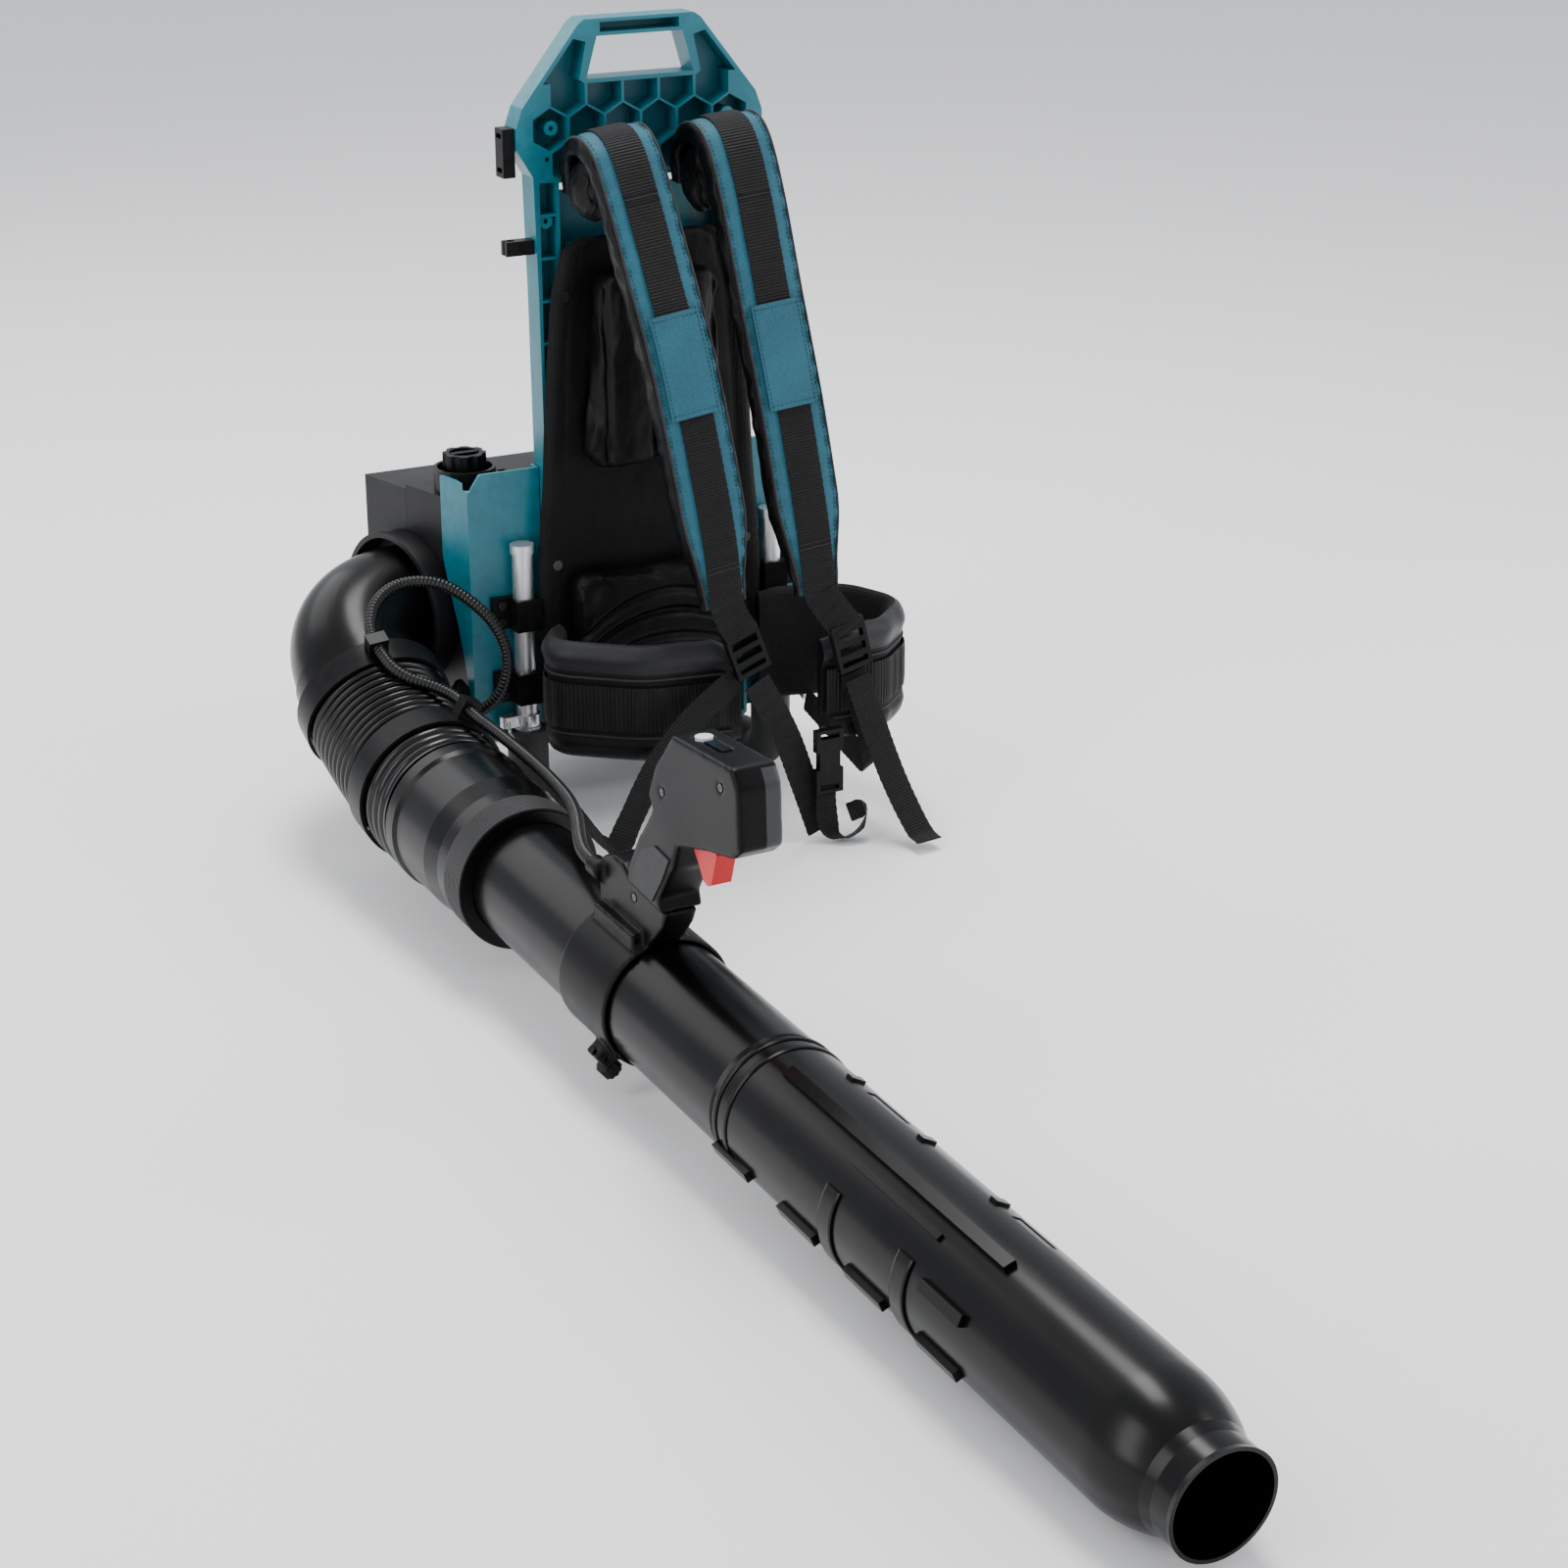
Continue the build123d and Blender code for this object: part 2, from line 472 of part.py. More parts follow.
head = [(254, 164), (246, 172), (257, 198), (281, 229), (366, 237), (375, 225), (379, 182), (369, 173), (330, 163), (291, 150), (284, 130), (279, 124), (264, 99), (268.5, 88.3), (214.5, 92.3), (216, 105), (232, 133)]
def inset(pts, dist):
    f = offset(make_face(Polyline(*[(float(a), float(b)) for a, b in pts], close=True)), -dist)
    return f
hhalf = hslab(head, HU, HU + 17)
core = extrude(HP.offset(-(HU + 14)) * inset(head, 3), amount=14, dir=-UX)
hhalf_r = hhalf - core
hhalf_l = hslab(head, HU - 17, HU) - extrude(HP.offset(-HU) * inset(head, 3), amount=14, dir=-UX)
trg_cut = hslab([(285.5, 120), (292.5, 151), (292.5, 186), (338, 186), (338, 120)], HU - 8.4, HU + 8.4)
PIVW, PIVV = 301.0, 174.0
pin = rod(pt(PIVW, HU - 16, PIVV), pt(PIVW, HU + 16, PIVV), 2.0)
pin_cut = rod(pt(PIVW, HU - 16, PIVV), pt(PIVW, HU + 16, PIVV), 2.0)
slope = atan(9.0 / 95.0)
bn = (UY * cos(slope) - D * sin(slope)).normalized()     # outward normal of the head's top
bt_ = (D * cos(slope) + UY * sin(slope)).normalized()
top_pt = pt(297, HU, 229 + (297 - 281) * 9 / 95.0)
BPL = Plane(origin=top_pt, x_dir=bt_, z_dir=bn)
btn_cut = BPL * Cylinder(6.6, 16)
led_cut = BPL * Pos(20.5, 0, 0) * Box(26, 8.4, 12)
scr_cut = [(351, 218), (268, 182)]
def drill(h):
    h = h - trg_cut - pin_cut - btn_cut - led_cut
    for (w_, v_) in scr_cut:
        h -= rod(pt(w_, HU - 30, v_), pt(w_, HU - 14.5, v_), 3.4)
    return h
hhalf_l = drill(hhalf_l)
hhalf_r = drill(hhalf_r)
keep("handle_shell_left", hhalf_l)
keep("handle_shell_right", hhalf_r)
hs = [rod(pt(w_, HU - 16.9, v_), pt(w_, HU - 14.5, v_), 2.9) - (Plane(origin=pt(w_, HU - 16.9, v_), z_dir=UX) * Box(1.2, 1.2, 2.4)) for (w_, v_) in scr_cut]
hs.append(rod(pt(219, HU - 12.9, 80), pt(219, HU - 10.5, 80), 2.9) - (Plane(origin=pt(219, HU - 12.9, 80), z_dir=UX) * Box(1.2, 1.2, 2.4)))
keep("handle_screw", *hs)
keep("trigger_pin", pin)
trig = hslab([(295, 178), (306, 181), (326, 168), (331, 158), (328, 148), (324, 133), (319, 130.5), (313, 132), (305, 143), (297, 152), (294, 160)], HU - 7.8, HU + 7.8)
trig -= rod(pt(PIVW, HU - 20, PIVV), pt(PIVW, HU + 20, PIVV), 2.06)
keep("trigger", trig)
btn = BPL * Pos(0, 0, -2.0) * Cylinder(6.3, 6.0)
keep("power_button", btn)
led = BPL * Pos(20.5, 0, -1.6) * Box(25.6, 8.0, 3.2)
keep("charge_display", led)
board = BPL * Pos(30, 0, -12) * Box(60, 24, 1.6)
sw = hslab([(312, 186.5), (345, 187), (345, 203), (312, 203)], HU - 7, HU + 7)
keep("handle_electronics", board, sw)
gp = [(259, 138), (281, 136), (270.5, 116), (256, 94), (226, 97), (228, 108), (240, 128)]
keep("grip_pad", hslab(gp, HU - 18.2, HU - 17), hslab(gp, HU + 17, HU + 18.2))

# ================================================================ telescoping nozzle
def noz_prof():
    o = Plane(origin=P0, x_dir=UX, z_dir=-(D.cross(UX)))
    l1 = Line((NOZ_BORE, 398), (NOZ_R + 0.0, 398))
    l2 = Line((NOZ_R, 398), (NOZ_R, 824))
    a1 = ThreePointArc((NOZ_R, 824), (46.2, 850), (38.2, 872))
    l3 = Line((38.2, 872), (36.3, 880))
    l4 = Line((36.3, 880), (36.3, 895))
    l5 = Line((36.3, 895), (37.2, 899))
    l6 = Line((37.2, 899), (34.5, 899))
    l7 = Line((34.5, 899), (34.5, 879))
    l8 = Line((34.5, 879), (36.3, 871))
    a2 = ThreePointArc((36.3, 871), (44.3, 849), (NOZ_BORE, 824))
    l9 = Line((NOZ_BORE, 824), (NOZ_BORE, 398))
    return make_face(o * (l1 + l2 + a1 + l3 + l4 + l5 + l6 + l7 + l8 + a2 + l9))
noz = revolve(noz_prof(), Axis(P0, D), 360)
def feat(ang, w0, w1, width, r0, r1):
    a = radians(ang)
    rr = UX * cos(a) + UY * sin(a)
    pl = Plane(origin=P0 + D * ((w0 + w1) / 2) + rr * ((r0 + r1) / 2), x_dir=rr, z_dir=D)
    return pl * Box(r1 - r0, width, w1 - w0)
def partial_ring(a0, a1, w0, w1, r1):
    o = Plane(origin=P0, x_dir=UX * cos(radians(a0)) + UY * sin(radians(a0)), z_dir=-(D.cross(UX * cos(radians(a0)) + UY * sin(radians(a0)))))
    f = make_face(o * Polyline((47.6, w0), (r1 - 0.6, w0), (r1, w0 + 1.5), (r1, w1 - 1.5), (r1 - 0.6, w1), (47.6, w1), close=True))
    return revolve(f, Axis(P0, D), a1 - a0)
add = [feat(107.5, 440, 705, 9, 47.6, 53), feat(125, 548, 649, 5, 47.6, 50.8), feat(158, 658, 704, 8, 47.6, 52.5)]
for w0 in (399, 487, 571, 656):
    add.append(feat(205, w0, w0 + 45, 8, 47.6, 53.4))
for w0 in (458, 546, 631):
    add.append(feat(61, w0, w0 + 7, 12, 47.6, 50.6))
for f_ in add:
    noz += f_
for w0 in (398.2, 412):
    noz += partial_ring(0, 360, w0, w0 + 5, 50.0)
for w0 in (540, 627):
    noz += partial_ring(150, 265, w0, w0 + 16, 50.8)
for w0, w1 in ((481, 525), (653, 693)):
    noz -= feat(61, w0, w1, 9, 47.9, 60)
keep("nozzle", noz)

# ================================================================ harness: pads
pb = [(-78, 505), (-60, 513), (60, 513), (78, 505), (88, 468), (96, 386), (101, 300), (106, 250), (108, 196), (108, 120), (-108, 120), (-108, 196), (-106, 250), (-101, 300), (-96, 386), (-88, 468)]
board2 = slab(pb, -8, -0.3)
riv = [(-78, 466), (-91, 233), (78, 466), (91, 233)]
for x, z in riv:
    board2 -= rod((x, -20, z), (x, 10, z), 2.5)
keep("back_pad", board2)
keep("pad_rivet", *[rod((x, -10, z), (x, -8, z), 4.5) + rod((x, -8, z), (x, -0.3, z), 2.5) for x, z in riv])
keep("upper_cushion", slab([(-60, 480), (-48, 492), (48, 492), (60, 480), (70, 330), (60, 312), (-60, 312), (-70, 330)], -34, -8.3))
keep("lumbar_cushion", slab([(-85, 218), (-76, 228), (76, 228), (85, 218), (85, 146), (78, 138), (-78, 138), (-85, 146)], -36, -8.3))

# hip belt: two wings round the waist space and the webbing that closes them
BZ0, BZ1 = 84.0, 188.0
left_pts = [(-96, -22), (-126, -64), (-62, -118), (22, -134)]
right_pts = [(96, -22), (172, -42), (196, -104), (150, -146), (92, -146)]
def strip(pts, rads, t, z0, z1):
    """A standing band of thickness t along a route seen from above."""
    sec = Plane(origin=(pts[0][0], pts[0][1], 0), z_dir=(pts[1][0] - pts[0][0], pts[1][1] - pts[0][1], 0), x_dir=(0, 0, 1))
    route = FilletPolyline(*[(x, y, 0) for x, y in pts], radius=rads)
    return sweep(sec * Pos((z0 + z1) / 2, 0) * Rectangle(z1 - z0, t), path=route)
def miter(pts, d):
    """The same polyline, moved d to the right of its travel."""
    out = []
    for i, (x, y) in enumerate(pts):
        dirs = []
        if i > 0:
            dx, dy = x - pts[i - 1][0], y - pts[i - 1][1]
            dirs.append((dx / sqrt(dx * dx + dy * dy), dy / sqrt(dx * dx + dy * dy)))
        if i < len(pts) - 1:
            dx, dy = pts[i + 1][0] - x, pts[i + 1][1] - y
            dirs.append((dx / sqrt(dx * dx + dy * dy), dy / sqrt(dx * dx + dy * dy)))
        nx = sum(q[1] for q in dirs) / len(dirs)
        ny = -sum(q[0] for q in dirs) / len(dirs)
        m = nx * nx + ny * ny
        out.append((x + nx / m * d, y + ny / m * d))
    return out
keep("belt_wing_left", strip(left_pts, [30, 60], 14, BZ0, BZ1))
keep("belt_wing_right", strip(right_pts, [45, 35, 30], 14, BZ0, BZ1))
webl = strip(miter(left_pts, 8.6), [38.6, 68.6], 2.4, 112, 152)
webr = strip(miter(right_pts, -8.6), [53.6, 43.6, 38.6], 2.4, 112, 152)
keep("belt_webbing", webl, webr)

# shoulder straps: a padded band in side view, leaning outwards going down
def band2(pts, t):
    a = miter(pts, t / 2)
    b = miter(pts, -t / 2)
    return a + b[::-1]
SW = 56.0
side_l = [(-8.6, 556), (-16, 586), (-40, 600), (-66, 592), (-85, 551), (-104, 494), (-125, 429), (-140, 344), (-148, 273), (-149, 222)]
side_r = [(-8.6, 556), (-16, 588), (-40, 603), (-66, 595), (-85, 550), (-104, 467), (-125, 380), (-140, 293), (-148, 236), (-149, 222)]
def shoulder(side, x0, lean):
    b = yz_slab(band2(side, 15), -SW / 2, SW / 2) - box(-60, 60, -0.3, 40, 500, 640)
    return Pos(x0, 0, 597) * Rot(0, lean, 0) * Pos(0, 0, -597) * b
LEAN_L, LEAN_R = -7.4, -5.3
keep("shoulder_strap_left", shoulder(side_l, -49, LEAN_L))
keep("shoulder_strap_right", shoulder(side_r, 53, LEAN_R))

# ladder locks, load webbing and loose tails
def ladder(x, y, z, tilt):
    b = Box(32, 8, 44) - Pos(0, 0, 9) * Box(25, 12, 7) - Pos(0, 0, -3) * Box(25, 12, 7) - Pos(0, 0, -15) * Box(25, 12, 5)
    return Pos(x, y, z) * Rot(0, tilt, 0) * b
keep("ladder_lock", ladder(17, -154, 183, -20), ladder(112, -164, 176, -14))
def flat(pts, w, y0, y1):
    """A ribbon facing -Y along a route of x, z points."""
    return slab(band2(pts, w), y0, y1)
def ribbon(a, b, w, t):
    a, b = Vector(*a), Vector(*b)
    d = b - a
    side = Vector(d.Y, -d.X, 0).normalized()
    return Plane(origin=(a + b) * 0.5, x_dir=side, z_dir=d.normalized()) * Box(w, t, d.length)
WEB = 25.0
lead_l = flat([(9, 157), (-33, 128), (-66, 92), (-101, 22)], WEB, -152, -150)
lead_l += ribbon((-101, -151, 23), (-141, -30, 78), 22, 2)
tail_l = flat([(24, 155), (50, 106), (67, 62), (86, 8)], WEB, -161, -159)
lead_r = flat([(116, 149), (128, 108), (140, 60)], WEB, -161.5, -159.5)
lead_r += ribbon((140, -160.5, 61), (141, -30, 78), 22, 2)
tail_r = yz_slab(band2([(-167, 146), (-176, 100), (-190, 52), (-214, 12), (-232, 6)], 2), -12.5, 12.5)
tail_r = Pos(118, 0, 146) * Rot(0, -15, 0) * Pos(0, 0, -146) * tail_r
join_l = flat([(2, 214), (9, 208.6)], WEB, -156, -154)
keep("load_webbing_left", lead_l, tail_l)
keep("load_webbing_right", lead_r, tail_r)
hook_l = HOOK * Torus(8.0, 1.3)
hook_l += rod((-140, -8.0, 85.6), (-140.6, -27.5, 78.6), 2.2)
keep("snap_hook", hook_l, mx(hook_l))
bk = box(76, 102, -172, -164.5, 46, 104) - box(80, 98, -180, -160, 96, 101) - box(80, 98, -180, -160, 49, 54)
bk -= box(70, 79, -180, -160, 68, 84) 
bk -= box(99, 108, -180, -160, 68, 84)
keep("belt_buckle", bk)
tb = box(-124, -113.3, 3, 19, 566, 606) - box(-130, -116, 6, 16, 598, 602) - box(-130, -116, 6, 16, 570, 574)
keep("top_buckle", tb)
cc = box(-123, -98.3, 4, 16, 501, 513) - rod((-117, 10, 490), (-117, 10, 520), 3.6) - box(-130, -119, 8.6, 11.4, 490, 520)
keep("cable_clip", cc)

# ================================================================ control conduit
def on_bellows(s_, ang, r):
    a = radians(ang)
    return bP(s_) + UX * (r * cos(a)) + bV(s_) * (r * sin(a))
def on_pipe(w, ang, r):
    a = radians(ang)
    return pt(w, r * cos(a), r * sin(a))
C1 = on_bellows(S_C1, c1_ang, c1_r)
C2 = on_bellows(S_C2, c2_ang, c2_r)
def route(pts):
    """Tangent-arc route through the corners; returns the wire and its first direction."""
    pts = [Vector(*p) if not isinstance(p, Vector) else p for p in pts]
    rads = []
    for i in range(1, len(pts) - 1):
        a, b = pts[i] - pts[i - 1], pts[i + 1] - pts[i]
        turn = radians(a.get_angle(b))
        rads.append(0.45 * min(a.length, b.length) / tan(turn / 2))
    print("radii", [round(r) for r in rads])
    return FilletPolyline(*pts, radius=rads), pts
def conduit(pts):
    wire, p = route(pts)
    solid = sweep(Plane(origin=p[0], z_dir=(p[1] - p[0]).normalized()) * Circle(COND_R), path=wire)
    print("length", round(wire.length, 1), "volume ratio", round(solid.volume / (pi * COND_R ** 2 * wire.length), 3))
    print("points", [tuple(round(c, 1) for c in q) for q in p])
    return solid
GLAND = Vector(-172.0, 24.0, 120.0)
G_DIR = Vector(-0.50, -0.82, -0.28).normalized()
route_a = [GLAND, (-183.4, 5.3, 113.6), (-184.1, -18.0, 114.6), (-173.8, -37.5, 123.9), (-158.9, -45.7, 142.6), (-150.8, -39.4, 169.1), (-158.5, -31.0, 196.0),
           (-175.0, -21.0, 216.0), (-196.2, -2.3, 232.2), (-227.9, 10.3, 233.3), (-253.1, 4.5, 222.3), (-265.0, -11.5, 208.1), (-267.1, -22.4, 200.1), C1 - bT(S_C1) * 0.2]
route_b = [C1 + bT(S_C1) * 0.2, (-266.2, -51.0, 186.4), (-256.0, -67.3, 176.4), (-236.7, -79.9, 169.4), (-227.4, -91.8, 165.5), (-222.6, -104.6, 162.3), C2 - bT(S_C2) * 0.2]
route_c = [C2 + bT(S_C2) * 0.2, C2 + bT(S_C2) * 13, on_bellows(196, 56, 73.5), on_pipe(-104, 51, 73), on_pipe(-60, 52, 72.5), on_pipe(-20, 58, 72), on_pipe(20, 66, 72.5),
           on_pipe(58, 77, 73), on_pipe(92, 89, 75), on_pipe(121, 98, 79), pt(144, GU, GV), pt(165, GU, GV)]
keep("conduit_a", conduit(route_a))
keep("conduit_b", conduit(route_b))
keep("conduit_c", conduit(route_c))
gl = rod(GLAND - G_DIR * 1.0, GLAND + G_DIR * 11, 9.0) - rod(GLAND - G_DIR * 0.4, GLAND + G_DIR * 13, 5.4)
gl += rod(GLAND - G_DIR * 9, GLAND - G_DIR * 0.4, 7.5)
gl = gl & side_plane_box(-163.9)
keep("conduit_gland", gl)

def save():
    for name, sol in NODES.items():
        if len(sol) == 1:
            shape = sol[0]
        else:
            shape = Compound(children=list(sol))
        export_step(shape, f"parts/{name}.step")

save()
print(len(NODES), "nodes")
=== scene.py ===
import math
import bpy
import bmesh
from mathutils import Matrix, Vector, noise


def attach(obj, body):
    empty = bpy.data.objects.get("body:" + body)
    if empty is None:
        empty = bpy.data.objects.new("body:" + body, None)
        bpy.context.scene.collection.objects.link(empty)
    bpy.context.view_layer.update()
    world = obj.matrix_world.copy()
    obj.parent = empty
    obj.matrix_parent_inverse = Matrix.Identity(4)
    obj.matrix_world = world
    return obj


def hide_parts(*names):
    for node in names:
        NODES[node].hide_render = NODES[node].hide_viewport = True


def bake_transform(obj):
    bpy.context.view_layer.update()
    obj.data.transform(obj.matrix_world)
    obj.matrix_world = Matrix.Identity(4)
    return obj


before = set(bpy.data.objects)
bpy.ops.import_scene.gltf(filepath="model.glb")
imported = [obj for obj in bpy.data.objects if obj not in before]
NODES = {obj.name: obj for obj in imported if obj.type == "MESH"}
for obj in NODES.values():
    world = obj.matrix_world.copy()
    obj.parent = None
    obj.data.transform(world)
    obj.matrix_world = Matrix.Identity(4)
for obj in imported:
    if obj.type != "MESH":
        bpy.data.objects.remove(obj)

SC = bpy.context.scene
COLL = SC.collection
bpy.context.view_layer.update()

# ------------------------------------------------------------------ camera
cam_data = bpy.data.cameras.new("camera")
cam = bpy.data.objects.new("camera", cam_data)
COLL.objects.link(cam)
cam.location = (-1.098, -2.347, 1.0367)
cam.rotation_euler = (math.radians(68.37), 0, math.radians(-27.7))
cam_data.sensor_width = 36.0
cam_data.lens = 70.76
cam_data.clip_end = 100
SC.camera = cam

# ------------------------------------------------------------------ the object's own frames, in metres
def V(*a):
    return Vector(a)

P0 = V(-0.2507, -0.300, 0.0845)
D = V(0.03179295, -0.99858035, -0.04273748).normalized()
UX = V(0.99949, 0.03182, 0).normalized()
UY = D.cross(UX).normalized()
W0, DROP, RUN = -0.137, 0.050, 0.198
PH = 2 * math.atan(DROP / RUN)
RB = RUN / math.sin(PH)
T0 = P0 + D * W0
HU = -0.004

def bP(s):
    p = PH - s / RB
    return T0 + UY * (RB * (1 - math.cos(p))) - D * (RB * math.sin(p))

def bT(s):
    p = PH - s / RB
    return D * math.cos(p) - UY * math.sin(p)

def bV(s):
    p = PH - s / RB
    return UY * math.cos(p) + D * math.sin(p)

def pt(w, u, v):
    return P0 + D * w + UX * u + UY * v

def on_pipe(w, ang, r):
    a = math.radians(ang)
    return pt(w, r * math.cos(a), r * math.sin(a))

def on_bellows(s, ang, r):
    a = math.radians(ang)
    return bP(s) + UX * (r * math.cos(a)) + bV(s) * (r * math.sin(a))

# ------------------------------------------------------------------ materials
def new_mat(name):
    m = bpy.data.materials.new(name)
    m.use_nodes = True
    nt = m.node_tree
    return m, nt, nt.nodes["Principled BSDF"]

def node(nt, kind, **kw):
    n = nt.nodes.new(kind)
    for k, v in kw.items():
        if k in n.inputs.keys():
            n.inputs[k].default_value = v
        else:
            setattr(n, k, v)
    return n

def coords(nt, what="Object"):
    return node(nt, "ShaderNodeTexCoord").outputs[what]

def noise_tex(nt, co, scale, detail=3.0, rough=0.5):
    n = node(nt, "ShaderNodeTexNoise", Scale=scale, Detail=detail, Roughness=rough)
    nt.links.new(co, n.inputs["Vector"])
    return n.outputs["Fac"]

def remap(nt, val, a, b, lo=0.3, hi=0.7):
    n = node(nt, "ShaderNodeMapRange")
    n.inputs["From Min"].default_value, n.inputs["From Max"].default_value = lo, hi
    n.inputs["To Min"].default_value, n.inputs["To Max"].default_value = a, b
    nt.links.new(val, n.inputs["Value"])
    return n.outputs["Result"]

def mix(nt, fac, a, b):
    n = node(nt, "ShaderNodeMix", data_type="RGBA")
    nt.links.new(fac, n.inputs[0])
    for sock, c in ((n.inputs[6], a), (n.inputs[7], b)):
        if isinstance(c, tuple):
            sock.default_value = (*c, 1)
        else:
            nt.links.new(c, sock)
    return n.outputs[2]

def bump(nt, height, strength, dist, under=None):
    n = node(nt, "ShaderNodeBump", Strength=strength, Distance=dist)
    nt.links.new(height, n.inputs["Height"])
    if under is not None:
        nt.links.new(under, n.inputs["Normal"])
    return n.outputs["Normal"]

def lighter(c, k):
    return tuple(min(1.0, x * k + 0.004 * (k - 1)) for x in c)

def plastic(name, col, rough=0.42, grain=1400.0, grain_strength=0.10, edge_wear_and_highlight=1.35, spread=0.06, edge_scuff_and_highlight=0.5, spec=0.5, vary=1.0):
    m, nt, b = new_mat(name)
    co = coords(nt)
    big = noise_tex(nt, co, 14.0, 4.0)
    fine = noise_tex(nt, co, grain, 2.0)
    mid = noise_tex(nt, co, 120.0, 5.0, 0.6)
    c1 = mix(nt, remap(nt, big, 0, 1), lighter(col, 1 - spread), lighter(col, 1 + spread))
    # Convex edges, found by pointiness and broken up by noise, are painted lighter: part edge wear, part painted edge
    # highlight.
    geo = node(nt, "ShaderNodeNewGeometry")
    edge = remap(nt, geo.outputs["Pointiness"], 0, edge_scuff_and_highlight, 0.53, 0.62)
    mul = node(nt, "ShaderNodeMath", operation="MULTIPLY")
    nt.links.new(edge, mul.inputs[0])
    nt.links.new(remap(nt, mid, 0.2, 1.0, 0.35, 0.6), mul.inputs[1])
    c2 = mix(nt, mul.outputs[0], c1, lighter(col, edge_wear_and_highlight))
    nt.links.new(c2, b.inputs["Base Color"])
    nt.links.new(remap(nt, big, rough - 0.05 * vary, rough + 0.06 * vary), b.inputs["Roughness"])
    b.inputs["Specular IOR Level"].default_value = spec
    n1 = bump(nt, fine, grain_strength, 0.0002)
    nt.links.new(bump(nt, big, 0.03, 0.0006, n1), b.inputs["Normal"])
    return m

def metal(name, col, rough=0.32, brushed=(60.0, 60.0, 4.0)):
    m, nt, b = new_mat(name)
    co = coords(nt)
    mp = node(nt, "ShaderNodeMapping")
    mp.inputs["Scale"].default_value = brushed
    nt.links.new(co, mp.inputs["Vector"])
    n = noise_tex(nt, mp.outputs["Vector"], 18.0, 4.0)
    spots = noise_tex(nt, co, 60.0, 4.0)
    nt.links.new(mix(nt, remap(nt, spots, 0, 1, 0.35, 0.7), lighter(col, 0.86), col), b.inputs["Base Color"])
    b.inputs["Metallic"].default_value = 1.0
    nt.links.new(remap(nt, n, rough - 0.08, rough + 0.1), b.inputs["Roughness"])
    nt.links.new(bump(nt, n, 0.06, 0.0002), b.inputs["Normal"])
    return m

def wave(nt, co, axis, period):
    w = node(nt, "ShaderNodeTexWave", wave_type="BANDS", bands_direction=axis, wave_profile="SIN", Scale=0.31416 / period, Distortion=0.0)
    nt.links.new(co, w.inputs["Vector"])
    return w.outputs["Fac"]

def weave(name, col, period=0.0011, rough=0.75, strength=0.35, sheen=0.25, uv=False, shaded_ribs=None, variation=0.25, wrinkle=0.3, spec=0.3):
    """Woven cloth; the rib tuple (axis, period, strength) adds coarse ribs and paints shade into their valleys."""
    m, nt, b = new_mat(name)
    co = coords(nt, "UV" if uv else "Object")
    if uv:
        a, c = wave(nt, co, "X", period), wave(nt, co, "Y", period)
    else:
        a, c = wave(nt, co, "X", period), wave(nt, co, "Z", period)
    mx = node(nt, "ShaderNodeMath", operation="MULTIPLY")
    nt.links.new(a, mx.inputs[0])
    nt.links.new(c, mx.inputs[1])
    height = mx.outputs[0]
    oc = coords(nt)
    big = noise_tex(nt, oc, 22.0, 5.0)
    fine = noise_tex(nt, oc, 700.0, 2.0)
    shade = mix(nt, remap(nt, big, 0, 1), lighter(col, 1 - variation), lighter(col, 1 + variation))
    shade = mix(nt, remap(nt, fine, 0, 0.5, 0.4, 0.7), shade, lighter(col, 1.5))
    if shaded_ribs:
        # Painted shade: the rib valleys are darkened toward 35 % of the cloth colour, in step with their bump.
        st = wave(nt, co, shaded_ribs[0], shaded_ribs[1])
        shade = mix(nt, remap(nt, st, 0.75, 0.0, 0.0, 0.5), shade, lighter(col, 0.35))
    nt.links.new(shade, b.inputs["Base Color"])
    b.inputs["Roughness"].default_value = rough
    b.inputs["Specular IOR Level"].default_value = spec
    b.inputs["Sheen Weight"].default_value = sheen
    b.inputs["Sheen Roughness"].default_value = 0.4
    n1 = bump(nt, height, strength, 0.0003)
    if shaded_ribs:
        n1 = bump(nt, st, shaded_ribs[2], 0.0008, n1)
    nt.links.new(bump(nt, noise_tex(nt, oc, 55.0, 4.0, 0.6), wrinkle, 0.0015, n1), b.inputs["Normal"])
    return m

TEAL = (0.0013, 0.112, 0.152)
M = {}
M["teal"] = plastic("teal_plastic", TEAL, 0.36, 1500, 0.08, 1.9, 0.08)
# A darker copy of the teal for side faces turned away from the light: painted shade.
M["teal_shaded_side"] = plastic("teal_shaded_side", (0.0016, 0.070, 0.095), 0.40, 1500, 0.08, 1.9, 0.08)
M["dark"] = plastic("dark_plastic", (0.0060, 0.0060, 0.0068), 0.42, 1100, 0.12, 2.4, 0.1, 0.4, 0.22)
M["black"] = plastic("black_plastic", (0.0018, 0.0018, 0.0020), 0.36, 1200, 0.05, 3.0, 0.1, 0.4, 0.13)
M["pipe"] = plastic("pipe_plastic", (0.0014, 0.0014, 0.0015), 0.25, 1600, 0.006, 1.6, 0.1, 0.15, 0.20, 0.5)
M["rubber"] = plastic("bellows_rubber", (0.0016, 0.0016, 0.0018), 0.22, 900, 0.006, 1.6, 0.1, 0.15, 0.34, 0.4)
M["foot"] = plastic("foot_rubber", (0.012, 0.012, 0.012), 0.62, 700, 0.25, 2.0, 0.1)
M["soft"] = plastic("soft_grip", (0.012, 0.012, 0.013), 0.68, 500, 0.5, 2.0, 0.1)
M["red"] = plastic("red_plastic", (0.48, 0.004, 0.007), 0.3, 1500, 0.05, 1.2, 0.05, 0.5, 0.3)
M["tube"] = metal("silver_tube", (0.86, 0.865, 0.87), 0.42)
M["steel"] = metal("zinc_steel", (0.66, 0.66, 0.67), 0.3)
M["dsteel"] = plastic("black_screw", (0.004, 0.004, 0.0045), 0.25, 900, 0.05, 3.5, 0.1, 0.5, 0.5)
